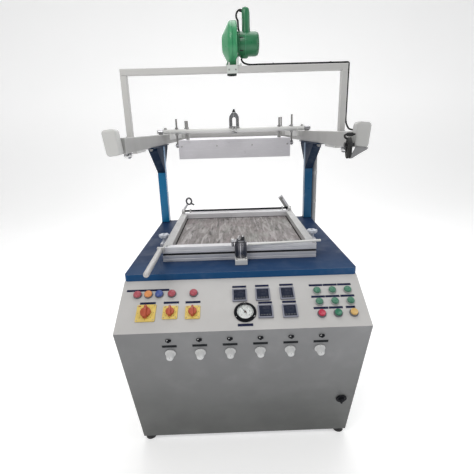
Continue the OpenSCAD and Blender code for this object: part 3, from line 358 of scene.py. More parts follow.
C["lens_red"] = lens("lens_red", (0.36, 0.028, 0.055), (0.55, 0.05, 0.07))
C["lens_orange"] = lens("lens_orange", (0.70, 0.25, 0.055), (0.8, 0.28, 0.06))
C["lens_blue"] = lens("lens_blue", (0.008, 0.050, 0.28), (0.01, 0.08, 0.40))
C["lens_green"] = lens("lens_green", (0.020, 0.165, 0.090), (0.03, 0.22, 0.12))
C["btn_red"] = plastic("button_red", (0.50, 0.022, 0.065), 0.34, coat=0.12)
C["btn_green"] = plastic("button_green", (0.022, 0.180, 0.100), 0.34, coat=0.12)
C["btn_yellow"] = plastic("button_yellow", (0.66, 0.42, 0.14), 0.34, coat=0.12)
C["yellow"] = plastic("yellow_plate", (0.72, 0.53, 0.12), 0.42, coat=0.05,
                      vary=[("noise", 30, (1, 1, 1), (0.84, 0.66, 0.22), 0.4, 0.75, 0.5),
                            ("noise", 160, (1, 1, 1), (0.56, 0.40, 0.06), 0.62, 0.8, 0.4)])
C["red"] = plastic("red_knob", (0.46, 0.075, 0.028), 0.40, coat=0.08)
C["navylabel"] = mat("label_laminate", (0.012, 0.015, 0.045), 0.55, coat=0.0, spec=0.08,
                     vary=[("noise", 60, (1, 1, 1), (0.035, 0.042, 0.100), 0.45, 0.75, 0.5)],
                     bump=[("noise", 900, (1, 1, 1), 0.1, 0.0002)])
C["label_line"] = plastic("label_border", (0.06, 0.07, 0.12), 0.5)
C["strip"] = mat("strip_black", (0.012, 0.014, 0.016), 0.55, coat=0.0, spec=0.08,
                 vary=[("noise", 60, (1, 1, 1), (0.030, 0.032, 0.036), 0.45, 0.75, 0.5)],
                 bump=[("noise", 900, (1, 1, 1), 0.1, 0.0002)])
C["knob"] = plastic("white_knob", (0.66, 0.665, 0.665), 0.45, 1100, 0.14, coat=0.03)
C["knob_l"] = plastic("lilac_knob", (0.66, 0.69, 0.76), 0.42, 1100, 0.14)
# dark marks: print, and black patches painted as the shade in recesses, slots and the intake throat
C["mark"] = plastic("dark_marks_and_painted_shade", (0.02, 0.02, 0.025), 0.5)
C["ink_grey"] = plastic("ink_grey", (0.20, 0.21, 0.24), 0.5)
C["ink_red"] = plastic("ink_red", (0.55, 0.03, 0.03), 0.5)
C["dial"] = mat("dial_face", (0.86, 0.855, 0.84), 0.45,
                vary=[("noise", 60, (1, 1, 1), (0.78, 0.77, 0.75), 0.5, 0.8, 0.5)],
                bump=[("noise", 900, (1, 1, 1), 0.05, 0.0002)])
C["needle"] = plastic("needle_brown", (0.055, 0.022, 0.022), 0.5)
C["glass"] = mat("clear_cover", (0.95, 0.97, 0.97), 0.04, trans=1.0, ior=1.10, spec=0.5,
                 vary=[("noise", 30, (1, 1, 1), (0.90, 0.93, 0.93), 0.5, 0.8, 0.4)])
C["screen"] = plastic("screen_dark", (0.020, 0.025, 0.046), 0.50, 900, 0.02, coat=0.0, spec=0.06)
C["led_r"] = mat("digits_upper", (0.075, 0.080, 0.115), 0.5, spec=0.1,
                 vary=[("noise", 900, (1, 1, 1), (0.10, 0.07, 0.09), 0.4, 0.8, 0.4)])
C["led_g"] = mat("digits_lower", (0.065, 0.080, 0.105), 0.5, spec=0.1,
                 vary=[("noise", 900, (1, 1, 1), (0.06, 0.09, 0.10), 0.4, 0.8, 0.4)])
C["led_off"] = plastic("digits_off", (0.028, 0.030, 0.046), 0.5, spec=0.06)
C["brass"] = metal("brass", (0.62, 0.42, 0.16), 0.3, m=0.95)
C["copper"] = metal("spigot_steel", (0.42, 0.38, 0.34), 0.4, m=0.8)

# lighter edge copies of the enamels and of the blower green: painted highlight along the rounded edges, with wear
EDGE = {C[k].name: C[k + "_e"] for k in ("cab", "side", "front", "top", "lip", "post", "beam", "arch", "white", "brk", "guard", "pump", "green", "knee")}


# --------------------------------------------------------------------------
# Mesh building
# --------------------------------------------------------------------------
def arc(cx, cy, r, a0, a1, n):
    return [(cx + r * math.cos(math.radians(a0 + (a1 - a0) * i / n)),
             cy + r * math.sin(math.radians(a0 + (a1 - a0) * i / n))) for i in range(n + 1)]


def rrect(w, h, r, n=6):
    out = []
    for sx, sy, a in ((1, 1, 0), (-1, 1, 90), (-1, -1, 180), (1, -1, 270)):
        out += arc(sx * (w / 2 - r), sy * (h / 2 - r), r, a, a + 90, n)
    return out


def smooth_path(pts, n=8):
    """A Catmull-Rom line through the points, n steps to each span."""
    p = [Vector(q) for q in pts]
    p = [p[0] * 2 - p[1]] + p + [p[-1] * 2 - p[-2]]
    out = []
    for i in range(1, len(p) - 2):
        a, b, c, d = p[i - 1], p[i], p[i + 1], p[i + 2]
        for k in range(n):
            t = k / n
            out.append(0.5 * ((2 * b) + (c - a) * t + (2 * a - 5 * b + 4 * c - d) * t * t
                              + (3 * b - a - 3 * c + d) * t ** 3))
    out.append(p[-2])
    return out


class Part:
    """Collects shapes in one mesh object that rides on one body."""

    def __init__(self, name, body="cabinet"):
        self.name, self.body = name, body
        self.bm = bmesh.new()
        self.mats = []

    def mi(self, m):
        if m not in self.mats:
            self.mats.append(m)
        return self.mats.index(m)

    def add(self, verts, faces, m, M=TAB, flat=False):
        vs = [self.bm.verts.new(M @ Vector(v)) for v in verts]
        k = self.mi(m)
        flip = M.determinant() < 0
        out = []
        for f in faces:
            idx = list(f)[::-1] if flip else list(f)
            try:
                face = self.bm.faces.new([vs[i] for i in idx])
            except ValueError:
                continue
            face.material_index = k
            face.smooth = not flat
            out.append(face)
        return out

    def box(self, lo, hi, m, M=TAB):
        x0, y0, z0 = lo
        x1, y1, z1 = hi
        v = [(x0, y0, z0), (x1, y0, z0), (x1, y1, z0), (x0, y1, z0), (x0, y0, z1), (x1, y0, z1), (x1, y1, z1), (x0, y1, z1)]
        return self.add(v, [(0, 3, 2, 1), (4, 5, 6, 7), (0, 1, 5, 4), (1, 2, 6, 5), (2, 3, 7, 6), (3, 0, 4, 7)], m, M)

    def prism(self, poly, z0, z1, m, M=TAB, top=None, cap0=True, cap1=True):
        """poly counter-clockwise in x, y, raised from z0 to z1; top is a second outline."""
        n = len(poly)
        up = top or poly
        v = [(x, y, z0) for x, y in poly] + [(x, y, z1) for x, y in up]
        f = [(i, (i + 1) % n, n + (i + 1) % n, n + i) for i in range(n)]
        if cap0:
            f.append(tuple(range(n - 1, -1, -1)))
        if cap1:
            f.append(tuple(range(n, 2 * n)))
        return self.add(v, f, m, M)

    def ring(self, outer, inner, z0, z1, m, M=TAB):
        """A prism with a hole; both outlines have the same number of points."""
        n = len(outer)
        v = [(x, y, z0) for x, y in outer] + [(x, y, z1) for x, y in outer] + [(x, y, z0) for x, y in inner] + [(x, y, z1) for x, y in inner]
        f = []
        for i in range(n):
            j = (i + 1) % n
            f += [(i, j, n + j, n + i), (2 * n + j, 2 * n + i, 3 * n + i, 3 * n + j),
                  (n + i, n + j, 3 * n + j, 3 * n + i), (j, i, 2 * n + i, 2 * n + j)]
        return self.add(v, f, m, M)

    def lathe(self, prof, m, M=TAB, seg=40, wobble=None):
        """prof is a list of (r, z), bottom to top on the outside. Ends at r = 0 are closed."""
        verts, rings = [], []
        for r, z in prof:
            if r <= 1e-6:
                rings.append([len(verts)])
                verts.append((0, 0, z))
            else:
                rings.append(list(range(len(verts), len(verts) + seg)))
                for k in range(seg):
                    a = 2 * math.pi * k / seg
                    rr = r * (wobble(a, z, r) if wobble else 1)
                    verts.append((rr * math.cos(a), rr * math.sin(a), z))
        faces = []
        for a, b in zip(rings, rings[1:]):
            for k in range(seg):
                k2 = (k + 1) % seg
                if len(a) == 1 and len(b) == 1:
                    continue
                if len(a) == 1:
                    faces.append((a[0], b[k2], b[k]))
                elif len(b) == 1:
                    faces.append((a[k], a[k2], b[0]))
                else:
                    faces.append((a[k], a[k2], b[k2], b[k]))
        return self.add(verts, faces, m, M)

    def cyl(self, r, z0, z1, m, M=TAB, seg=32, ch=0.0, r2=None):
        r2 = r if r2 is None else r2
        if ch:
            return self.lathe([(0, z0), (r - ch, z0), (r, z0 + ch), (r2, z1 - ch), (r2 - ch, z1), (0, z1)], m, M, seg)
        return self.lathe([(0, z0), (r, z0), (r2, z1), (0, z1)], m, M, seg)

    def xcyl(self, x0, x1, y, z, r, m, seg=32, ch=0.0):
        return self.cyl(r, 0, x1 - x0, m, at(x0, y, z) @ XAX, seg, ch)

    def tube(self, pts, r, m, M=TAB, seg=12, cap=True, flat=None):
        pts = [Vector(p) for p in pts]
        n = len(pts)
        tang = [(pts[min(i + 1, n - 1)] - pts[max(i - 1, 0)]).normalized() for i in range(n)]
        ref = Vector((0, 0, 1)) if abs(tang[0].z) < 0.9 else Vector((1, 0, 0))
        nrm = (ref - tang[0] * ref.dot(tang[0])).normalized()
        verts, faces = [], []
        for i in range(n):
            nrm = (nrm - tang[i] * nrm.dot(tang[i])).normalized()
            b = tang[i].cross(nrm)
            rr = r[i] if isinstance(r, (list, tuple)) else r
            for k in range(seg):
                a = 2 * math.pi * k / seg
                verts.append(pts[i] + (nrm * math.cos(a) + b * math.sin(a) * (flat or 1)) * rr)
        for i in range(n - 1):
            for k in range(seg):
                k2 = (k + 1) % seg
                faces.append((i * seg + k, i * seg + k2, (i + 1) * seg + k2, (i + 1) * seg + k))
        if cap:
            faces.append(tuple(range(seg - 1, -1, -1)))
            faces.append(tuple((n - 1) * seg + k for k in range(seg)))
        return self.add([tuple(v) for v in verts], faces, m, M)

    def nut(self, af, h, m, M=TAB, hole=0.0, turn=0.0):
        """Hexagon nut or head with chamfered corners, af across flats."""
        R = af / math.sqrt(3)
        hexa = [(R * math.cos(math.radians(60 * i + turn)), R * math.sin(math.radians(60 * i + turn))) for i in range(6)]
        c = 0.10 * R
        n = 6
        rings = [[(x * (af * 0.47 / R), y * (af * 0.47 / R), 0) for x, y in hexa], [(x, y, c * 0.6) for x, y in hexa],
                 [(x, y, h - c * 0.6) for x, y in hexa], [(x * (af * 0.47 / R), y * (af * 0.47 / R), h) for x, y in hexa]]
        v = [p for r in rings for p in r]
        f = [(k * n + i, k * n + (i + 1) % n, (k + 1) * n + (i + 1) % n, (k + 1) * n + i) for k in range(3) for i in range(n)]
        f += [tuple(range(n - 1, -1, -1)), tuple(range(3 * n, 4 * n))]
        for face in self.add(v, f, m, M):
            face.smooth = False
        if hole:
            self.cyl(hole, h - 0.01, h + 0.25, m, M, 20)

    def thread(self, r, z0, z1, m, M=TAB, pitch=1.5, seg=20, depth=0.55):
        """A threaded rod whose crests really wind round it."""
        prof = []
        n = max(2, int((z1 - z0) / pitch * 3))
        verts, faces = [], []
        for i in range(n + 1):
            z = z0 + (z1 - z0) * i / n
            for k in range(seg):
                a = 2 * math.pi * k / seg
                ph = ((z - z0) / pitch - k / seg) % 1.0
                rr = r - depth * (1 - abs(2 * ph - 1))
                verts.append((rr * math.cos(a), rr * math.sin(a), z))
        for i in range(n):
            for k in range(seg):
                k2 = (k + 1) % seg
                faces.append((i * seg + k, i * seg + k2, (i + 1) * seg + k2, (i + 1) * seg + k))
        faces.append(tuple(range(seg - 1, -1, -1)))
        faces.append(tuple(n * seg + k for k in range(seg)))
        self.add(verts, faces, m, M)

    def bead(self, pts, r, m=None, M=TAB, step=3.0):
        """A rippled weld bead along straight runs between points."""
        m = m or C["weld"]
        line, rad = [], []
        pts = [Vector(p) for p in pts]
        for a, b in zip(pts, pts[1:]):
            n = max(2, int((b - a).length / step * 2))
            for i in range(n):
                line.append(a.lerp(b, i / n))
                rad.append(r * (0.86 + 0.2 * (len(rad) % 2) + 0.06 * math.sin(len(rad) * 1.7)))
        line.append(pts[-1])
        rad.append(r * 0.7)
        self.tube(line, rad, m, M, 8)

    def bar(self, lo, hi, m, M=TAB):
        return self.box(lo, hi, m, M)

    def done(self, replaces=(), slot=None, bevel=0.0, seg=2, angle=32, edge=None, clean=False, sub=0):
        bmesh.ops.recalc_face_normals(self.bm, faces=self.bm.faces[:])
        me = bpy.data.meshes.new(self.name)
        self.bm.to_mesh(me)
        self.bm.free()
        for m in self.mats:
            me.materials.append(m)
        if not bevel and not sub:
            me.set_sharp_from_angle(angle=math.radians(angle))
        ob = bpy.data.objects.new(self.name, me)
        bpy.context.scene.collection.objects.link(ob)
        if bevel:
            add_bevel(ob, bevel, seg, angle, edge)
        if sub:
            md = ob.modifiers.new("subdivision", "SUBSURF")
            md.levels = md.render_levels = sub
        for n in ([replaces] if isinstance(replaces, str) else replaces):
            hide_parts(n)
        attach(ob, self.body)
        return ob


def add_bevel(ob, width, seg=2, angle=32, edge=None):
    md = ob.modifiers.new("rounded_edges", "BEVEL")
    md.width = width / 1000
    md.segments = seg
    md.limit_method = "ANGLE"
    md.angle_limit = math.radians(angle)
    md.use_clamp_overlap = True
    md.harden_normals = True
    md.miter_outer = "MITER_ARC" if seg > 2 else "MITER_SHARP"
    if edge is not None:
        if edge.name not in [m.name for m in ob.data.materials]:
            ob.data.materials.append(edge)
        md.material = [m.name for m in ob.data.materials].index(edge.name)


BODY_OF = {n: b for b, ns in frame["record"]["behaviour"]["bodies"].items() for n in ns}


def cad_copy(node, name, pick, bevel=0.8, seg=2, angle=32, edge=None, keep=None):
    """The node's own surface, cleaned and given rounded edges. pick is a material, or a
    function of a face's centre and normal (in table millimetres) that gives one."""
    src = frame["nodes"][node].data
    bm = bmesh.new()
    bm.from_mesh(src)
    bmesh.ops.remove_doubles(bm, verts=bm.verts[:], dist=2e-6)
    bmesh.ops.dissolve_degenerate(bm, edges=bm.edges[:], dist=2e-6)
    bmesh.ops.dissolve_limit(bm, angle_limit=math.radians(0.6), verts=bm.verts[:], edges=bm.edges[:], use_dissolve_boundaries=False)
    if keep:
        inv = TAB.inverted()
        gone = [f for f in bm.faces if not keep(inv @ f.calc_center_median())]
        bmesh.ops.delete(bm, geom=gone, context="FACES")
    mats = []
    inv = TAB.inverted()
    for f in bm.faces:
        m = pick(inv @ f.calc_center_median(), f.normal) if callable(pick) else pick
        if m not in mats:
            mats.append(m)
        f.material_index = mats.index(m)
        f.smooth = f.calc_area() < 2e-4
    me = bpy.data.meshes.new(name)
    bm.to_mesh(me)
    bm.free()
    for m in mats:
        me.materials.append(m)
    ob = bpy.data.objects.new(name, me)
    bpy.context.scene.collection.objects.link(ob)
    if bevel:
        add_bevel(ob, bevel, seg, angle, edge or (EDGE.get(mats[0].name) if len(mats) == 1 else None))
    else:
        me.set_sharp_from_angle(angle=math.radians(angle))
    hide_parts(node)
    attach(ob, BODY_OF[node])
    return ob


def screw_head(p, r, M, m=None, slot_turn=0.0, cross=True):
    """A small pan head standing on local z = 0; its cross recess is two black bars, painted shade in place of a cut."""
    m = m or C["zinc"]
    p.lathe([(0, 0), (r, 0), (r, r * 0.22), (r * 0.86, r * 0.48), (r * 0.5, r * 0.62), (0, r * 0.66)], m, M, 20)
    if cross:
        c, s = math.cos(slot_turn), math.sin(slot_turn)
        R = Matrix.Rotation(slot_turn, 4, "Z")
        p.box((-r * 0.55, -r * 0.10, r * 0.50), (r * 0.55, r * 0.10, r * 0.69), C["mark"], M @ R)
        p.box((-r * 0.10, -r * 0.55, r * 0.50), (r * 0.10, r * 0.55, r * 0.69), C["mark"], M @ R)


# --------------------------------------------------------------------------
# Cabinet
# --------------------------------------------------------------------------
cad_copy("top_plate", "table_top", lambda c, n: C["top"] if n.z > 0.8 or n.z < -0.8 or c.y > 60 and abs(n.y) > 0.5 and c.y < 700 else C["lip"], 2.2, 3, edge=C["lip_e"])
cad_copy("side_panel_left", "side_panel_left_skin", C["side"], 0.9)
cad_copy("side_panel_right", "side_panel_right_skin", C["side"], 0.9)
cad_copy("control_panel", "control_panel_skin", C["cab"], 1.2, 2, 34)
cad_copy("lower_front_panel", "lower_front_skin", C["front"], 1.2, 2, 34)
cad_copy("back_panel", "back_panel_skin", C["side"], 0.7)
cad_copy("bottom_plate", "bottom_plate_skin", C["galv"], 0.5)
cad_copy("forming_box", "forming_box_skin", C["galv"], 1.0)
cad_copy("platen", "bed_plate", C["bed"], 0.8)
cad_copy("platen_cylinder", "lift_cylinder", C["alu"], 0.8)
cad_copy("vacuum_pump", "vacuum_pump_skin", C["pump"], 1.2)

p = Part("cabinet_screws")
for x in (-1, 1):
    M0 = TAB @ Matrix.Translation((x * 400, 0, 0)) @ (XAX if x > 0 else XAX.inverted())
    for y in (60, 400, 735):
        for z in (-60, -350, -650):
            if y == 60 and z == -60:
                continue
            M = TAB @ Matrix.Translation((x * 400.0, y, z)) @ (XAX if x > 0 else XAX.inverted())
            screw_head(p, 3.6, M @ Matrix.Scale(0.8, 4), slot_turn=y * 0.7 + z)
for x in (-385, -130, 130, 385):
    for z in (-40, -660):
        screw_head(p, 3.6, TAB @ Matrix.Translation((x, 765.0, z)) @ YAX, slot_turn=x + z)
p.done(slot="zinc_steel")

p = Part("rubber_feet")
for x in (-378, 378):
    for y in (24, 742):
        M = TAB @ Matrix.Translation((x, y, -710))
        p.lathe([(0, 0), (18.6, 0), (20, 1.4), (20, 4), (19.2, 5), (19.2, 7), (20, 8), (20, 13.4), (18, 16), (15, 16), (15, 22), (0, 22)], C["rubber"], M, 40)
p.done("feet", "black_rubber", angle=50)

# --------------------------------------------------------------------------
# Uprights, knee braces, beams, arch
# --------------------------------------------------------------------------
p = Part("uprights")
q = Part("upright_welds")
for s in (-1, 1):
    X = lambda a: a * s
    lo, hi = sorted((X(360), X(400)))
    p.box((lo, 728, 0), (hi, 768, 393), C["post"] if s < 0 else C["post_r"])
    flo, fhi = sorted((X(358), X(402)))
    # flange under the beam and the knee braces in the dark knee blue: painted shade
    p.box((flo, 480, 393), (fhi, 900, 398), C["knee"])
    for g in ([(728, 393), (562, 393), (562, 382), (728, 264)], [(768, 393), (768, 301), (860, 382), (860, 393)]):
        v = [(X(360), y, z) for y, z in g] + [(X(400), y, z) for y, z in g]
        n = 4
        f = [(i, (i + 1) % n, n + (i + 1) % n, n + i) for i in range(n)] + [tuple(range(n)), tuple(range(n, 2 * n))]
        for face in p.add(v, f, C["knee"]):
            pass
    # welds at the post's foot and on the braces also take the dark knee blue, painted shade
    q.bead([(X(360), 728, 1), (X(400), 728, 1), (X(400), 768, 1)], 2.0, C["knee"])
    q.bead([(X(360), 728, 1), (X(360), 768, 1)], 2.0, C["knee"])
    q.bead([(X(360), 729, 264), (X(400), 729, 264)], 2.2, C["knee"])
    q.bead([(X(360), 767, 301), (X(400), 767, 301)], 2.2, C["knee"])
p.done("posts", "post_blue", 3.0, 3, 30)
q.done(slot="post_blue")

p = Part("side_beams")
q = Part("beam_details")
for s in (-1, 1):
    lo, hi = sorted((s * 369, s * 399))
    p.box((lo, 90, 398), (hi, 1342, 450), C["beam"])
    lo2, hi2 = sorted((s * 372, s * 396))
    p.box((lo2, 236, 389), (hi2, 394, 398.5), C["white"])
    # end caps pushed into the open rear ends
    q.prism(rrect(29.4, 51.4, 3), 0, 0.01, C["black"], TAB @ Matrix.Translation((s * 384, 1341.9, 424)) @ YAX)
    q.bead([(s * 373, 236, 397.6), (s * 373, 394, 397.6)], 1.8, C["white"])
    q.bead([(s * 395, 236, 397.6), (s * 395, 394, 397.6)], 1.8, C["white"])
    q.bead([(s * 369, 1313.6, 400), (s * 369, 1313.6, 448)], 1.6, C["beam"])
p.box((-369.5, 1314, 398), (369.5, 1338, 450), C["beam"])
p.done("beams", "frame_grey", 2.4, 3, 30, C["beam_e"])
q.done(slot="frame_grey", angle=60)

p = Part("arch_tube")
q = Part("arch_welds")
for s in (-1, 1):
    lo, hi = sorted((s * 373, s * 395))
    p.box((lo, 207, 450), (hi, 229, 654.2), C["arch"])
    q.bead([(s * 372.5, 206.5, 451), (s * 395.5, 206.5, 451), (s * 395.5, 229.5, 451)], 1.8, C["arch"])
    q.bead([(s * 373, 206.8, 654.0), (s * 395, 206.8, 676)], 0.9, C["arch"], step=2)
p.box((-395, 207, 654), (395, 229, 676), C["arch"])
p.done("gantry", "frame_grey", 2.2, 3, 30, C["arch_e"])
q.done(slot="frame_grey")


def shell(part, w, h, d, r, wall, m, M):
    """Rounded box shell, its depth along local z, with a soft rim round each face."""
    def ringat(k, z):
        return [(x, y, z) for x, y in rrect(w - 2 * k, h - 2 * k, max(r - k, 1.0), 8)]
    lay = [ringat(9, 0), ringat(4.0, 0.7), ringat(1.2, 2.4), ringat(0, 5.5), ringat(0, d - 5.5), ringat(1.2, d - 2.4), ringat(4.0, d - 0.7), ringat(9, d)]
    n = len(lay[0])
    v = [q for l in lay for q in l]
    f = [(k * n + i, k * n + (i + 1) % n, (k + 1) * n + (i + 1) % n, (k + 1) * n + i) for k in range(len(lay) - 1) for i in range(n)]
    f += [tuple(range(n - 1, -1, -1)), tuple(range((len(lay) - 1) * n, len(lay) * n))]
    part.add(v, f, m, M)


p = Part("beam_end_guards")
FY = Matrix.Rotation(math.radians(90), 4, "X")
shell(p, 46, 84, 48, 12, 2.5, C["guard"], at(-403, 89.8, 436, 0, -7) @ FY)
shell(p, 46, 80, 48, 12, 2.5, C["guard"], at(405, 89.8, 439.5, 0, 5) @ FY)
p.done("end_guards", "frame_grey", angle=45)
p = Part("guard_apron")
tg = [(380.5, 3.2), (424, -0.8), (421, -8), (400, -25), (381, -43), (374, -44), (374, -30), (379.4, -8)]
# the apron plate takes the darker grey, painted shade
p.prism(tg[::-1], 0, 2.5, C["guard_d"], at(0, 43, 400.5, 125))
p.xcyl(350, 381.5, 52, 409, 5.5, C["black"], 24, 0.6)
p.lathe([(0, 0), (7.7, 0), (8.5, 0.6), (8.5, 1.9), (7.7, 2.5), (0, 2.5)], C["black"], at(347.6, 52, 409) @ XAX, 24)
p.done(slot="frame_grey", bevel=0.5)

# --------------------------------------------------------------------------
# Blower
# --------------------------------------------------------------------------
BY, BZ = 255.0, 752.5
BX = at(0, BY, BZ) @ XAX     # local z is +X, local x is down, local y is +Y


def blower():
    p = Part("blower_shell")
    # scroll: a lathe whose radius swells towards the outlet, with a domed intake side
    prof = [(19, -39.6), (23, -40.0), (26.6, -39.6), (28.8, -38.6), (34, -35.6), (42, -31.2), (52, -25.9),
            (61, -21.1), (67.6, -17.2), (71.4, -13.8), (72.8, -9.5), (73, -5), (73, 4.5), (72.2, 8.5), (69.5, 11.6), (65, 12.8), (52, 13), (39, 13)]
    # the scroll takes the lighter green copy, painted light
    p.lathe(prof, C["green_d"], BX, 72)
    # seam between the two halves of the scroll
    # the seam ring takes the lighter green, a painted highlight on the ridge
    p.lathe([(72.6, -5.2), (73.0, -5.0), (73.0, -3.2), (72.6, -3.0)], C["green_e"], BX, 72)
    # motor barrel with a rounded end
    mp = [(34, 12.5), (38.2, 13.5), (39.5, 16), (39.5, 60)] + [(39.5 - 15 * (1 - math.cos(math.radians(a))), 74 + 15 * math.sin(math.radians(a))) for a in range(0, 91, 10)] + [(12, 89.4), (0, 89.4)]
    p.lathe(mp, C["green"], at(0, BY, BZ - 1) @ XAX, 56)
    # grip: rounded outline that narrows towards the top and leans back
    layers = [(24, 31, 46, 44.0), (36, 28.5, 45, 44.3), (48, 26.8, 44, 44.6), (70, 26.4, 43.4, 44.6), (88, 26.6, 43.6, 44.4), (99, 26.0, 42.6, 44.0), (105.5, 23.6, 39.5, 43.4), (109.2, 18.0, 33.0, 42.8), (110.4, 11, 25, 42.6)]
    prev = []
    n = 0
    v = []
    for dz, w, h, cx in layers:
        o = rrect(w, h, min(w, h) * 0.42, 6)
        n = len(o)
        v += [(cx + x, BY + y, BZ + dz) for x, y in o]
    f = [(k * n + i, k * n + (i + 1) % n, (k + 1) * n + (i + 1) % n, (k + 1) * n + i) for k in range(len(layers) - 1) for i in range(n)]
    f += [tuple(range(n - 1, -1, -1)), tuple(range((len(layers) - 1) * n, len(layers) * n))]
    p.add(v, f, C["green"])
    # outlet neck, blended down through the saddle
    p.lathe([(17, 45), (17, 2), (16.4, 0)], C["green"], at(-8, 254, 651), 40)
    # boss under the motor that the lead comes out of
    p.lathe([(0, -46.4), (8, -46.4), (11.6, -45.8), (13.8, -43.6), (14.8, -38), (15, -32), (0, -32)], C["green"], at(37, BY, BZ), 44)
    p.lathe([(39.4, 14.5), (40.6, 15.4), (41.0, 17), (40.6, 18.6), (39.4, 19.5)], C["green"], at(0, BY, BZ - 1) @ XAX, 56)
    ob = p.done("blower_housing", "green_plastic", angle=40)
    d = Part("blower_details")
    # dark outlet end below the bar
    d.lathe([(12.5, 0.4), (15.8, 0), (17.2, 0.9), (17.2, 6.2), (16.9, 7.0), (12.5, 7)], C["nozzle"], at(-8, 254, 650.6), 40)
    d.lathe([(12.5, 30), (12.5, 0)], C["black"], at(-8, 254, 651), 32)
    # intake grille: ring, spokes and a black disc at the throat, painted shade in the opening
    # the grille ring takes the lighter green, a painted highlight
    d.lathe([(19.5, -0.2), (22.5, 1.1), (24.4, 0.2), (24.4, -1.2)], C["green_e"], at(-39.4, BY, BZ) @ XAX.inverted(), 40)
    d.cyl(19.4, -38, -37.4, C["mark"], BX, 36)
    for r0 in (6, 11.5, 16):
        d.lathe([(r0, -0.9), (r0 + 1.6, -0.9), (r0 + 1.6, 0.9), (r0, 0.9), (r0, -0.9)], C["green"], at(-38.8, BY, BZ) @ XAX, 32)
    for k in range(6):
        R = Matrix.Rotation(math.radians(60 * k), 4, "Z")
        d.box((0, -0.9, -39.6), (19.6, 0.9, -38.0), C["green"], BX @ R)
    # cooling slots in the motor's end, drawn as black patches that paint the shade inside them; screws round the scroll
    for k in range(12):
        R = Matrix.Rotation(math.radians(30 * k + 10), 4, "Z")
        d.box((33.2, -1.7, 77.5), (36.6, 1.7, 85.3), C["mark"], at(0, BY, BZ - 1) @ XAX @ R)
        if k % 2 == 0:
            d.box((38.2, -2.0, 20), (39.75, 2.0, 33), C["mark"], at(0, BY, BZ - 1) @ XAX @ R)
    for k in range(5):
        R = Matrix.Rotation(math.radians(72 * k + 20), 4, "Z") @ Matrix.Translation((63, 0, 0))
        screw_head(d, 3.0, BX @ R @ Matrix.Translation((0, 0, 12.7)), C["zinc"], k)
    # seam ring and end badge disc on the motor, side seam of the grip, all in the lighter green: a painted highlight
    d.lathe([(39.3, 40.2), (39.9, 40.5), (39.9, 41.8), (39.3, 42.1)], C["green_e"], at(0, BY, BZ - 1) @ XAX, 56)
    d.cyl(14, 89.3, 90.0, C["green_e"], at(0, BY, BZ - 1) @ XAX, 40, 0.3)
    d.tube([(31.2, BY, BZ + 44), (31.35, BY, BZ + 70), (31.25, BY, BZ + 96)], 0.7, C["green_e"], seg=8)
    d.tube([(58.1, BY, BZ + 42), (57.9, BY, BZ + 70), (57.6, BY, BZ + 98)], 0.7, C["green_e"], seg=8)
    # dark cap on the grip's top where the lead comes out, and its sleeve
    d.prism(rrect(20, 34, 8, 6), 107.6, 110.8, C["blackgloss"], at(42.6, BY, BZ), top=rrect(13, 27, 6, 6))
    d.lathe([(4.8, 0), (5.0, 3), (4.4, 8), (3.9, 11), (0, 11)], C["rubber"], at(33.5, BY, BZ + 102) @ Matrix.Rotation(math.radians(-80), 4, "Y"), 20)
    d.done(slot="green_plastic", bevel=0.25, seg=1, angle=50)
    t = Part("trigger", "trigger")
    t.prism(rrect(12.0, 25.0, 2.6, 5), 0, 10.2, C["black"], at(44.5, BY + 15, 813, -90), top=rrect(10.4, 22.0, 2.6, 5))
    for k in range(4):
        t.tube([(40.3, BY + 25.2, 806.5 + 4.2 * k), (48.7, BY + 25.2, 806.5 + 4.2 * k)], 0.6, C["black"], seg=8)
    t.done("blower_trigger", "black_plastic", 0.5)
    f = Part("fan_wheel", "fan")
    f.lathe([(4, 6), (62, 6), (63, 5), (63, 3.6), (61, 3), (20, 3), (13, 0), (11, -10), (8, -13), (0, -13)], C["black"], BX, 64)
    for k in range(8):
        a0 = math.radians(45 * k)
        pts = []
        for i in range(9):
            rr = 12 + 48 * i / 8
            aa = a0 + 0.5 * (i / 8) ** 1.3
            pts.append((rr * math.cos(aa), rr * math.sin(aa)))
        vv = []
        for (x, y) in pts:
            vv += [(x - 1, y, -11), (x + 1, y, -11), (x + 1, y, 3.2), (x - 1, y, 3.2)]
        ff = []
        for i in range(8):
            for c in range(4):
                ff.append((4 * i + c, 4 * i + (c + 1) % 4, 4 * i + 4 + (c + 1) % 4, 4 * i + 4 + c))
        ff += [(0, 3, 2, 1), (32, 33, 34, 35)]
        f.add(vv, ff, C["black"], BX)
    f.cyl(4, 5, 29, C["steel"], BX, 24)
    f.done("blower_impeller", "black_plastic", angle=40)


blower()

p = Part("blower_saddle")
p.box((-25, 204, 652), (12, 207, 679), C["brk"])
FZ = TAB @ Matrix.Translation((0, 207, 0)) @ Matrix.Rotation(math.radians(90), 4, "X")
p.prism([(-21, 678), (-15, 678), (-15.4, 687), (-20, 687)], 0, 3, C["brk"], FZ)
p.prism([(7, 678), (16, 678), (16, 704), (13.6, 704), (7, 696)], 0, 3, C["brk"], FZ)
for x in (-28.3, 23):
    p.box((x, 236, 678), (x + 3, 284, 689), C["brk"])
p.done("blower_bracket", "white_paint", 0.7, 2, 30, C["brk_e"])
p = Part("saddle_plate")
outer = rrect(54.3, 83, 1.5, 6)
hole = [(-6.85 + 17.3 * math.cos(math.radians(a)), 5.5 + 17.3 * math.sin(math.radians(a))) for a in [math.degrees(math.atan2(y - 5.5, x + 6.85)) for x, y in outer]]
p.ring(outer, hole, 676, 679, C["brk"], at(-1.15, 248.5, 0))
for x in (-18, 20):
    screw_head(p, 4.0, at(x, 220, 679), C["zinc"], 0.4)
for x in (-18, 5):
    screw_head(p, 3.0, at(x, 204, 664, 90), C["zinc"], 0.9)
p.done(slot="white_paint", angle=40)

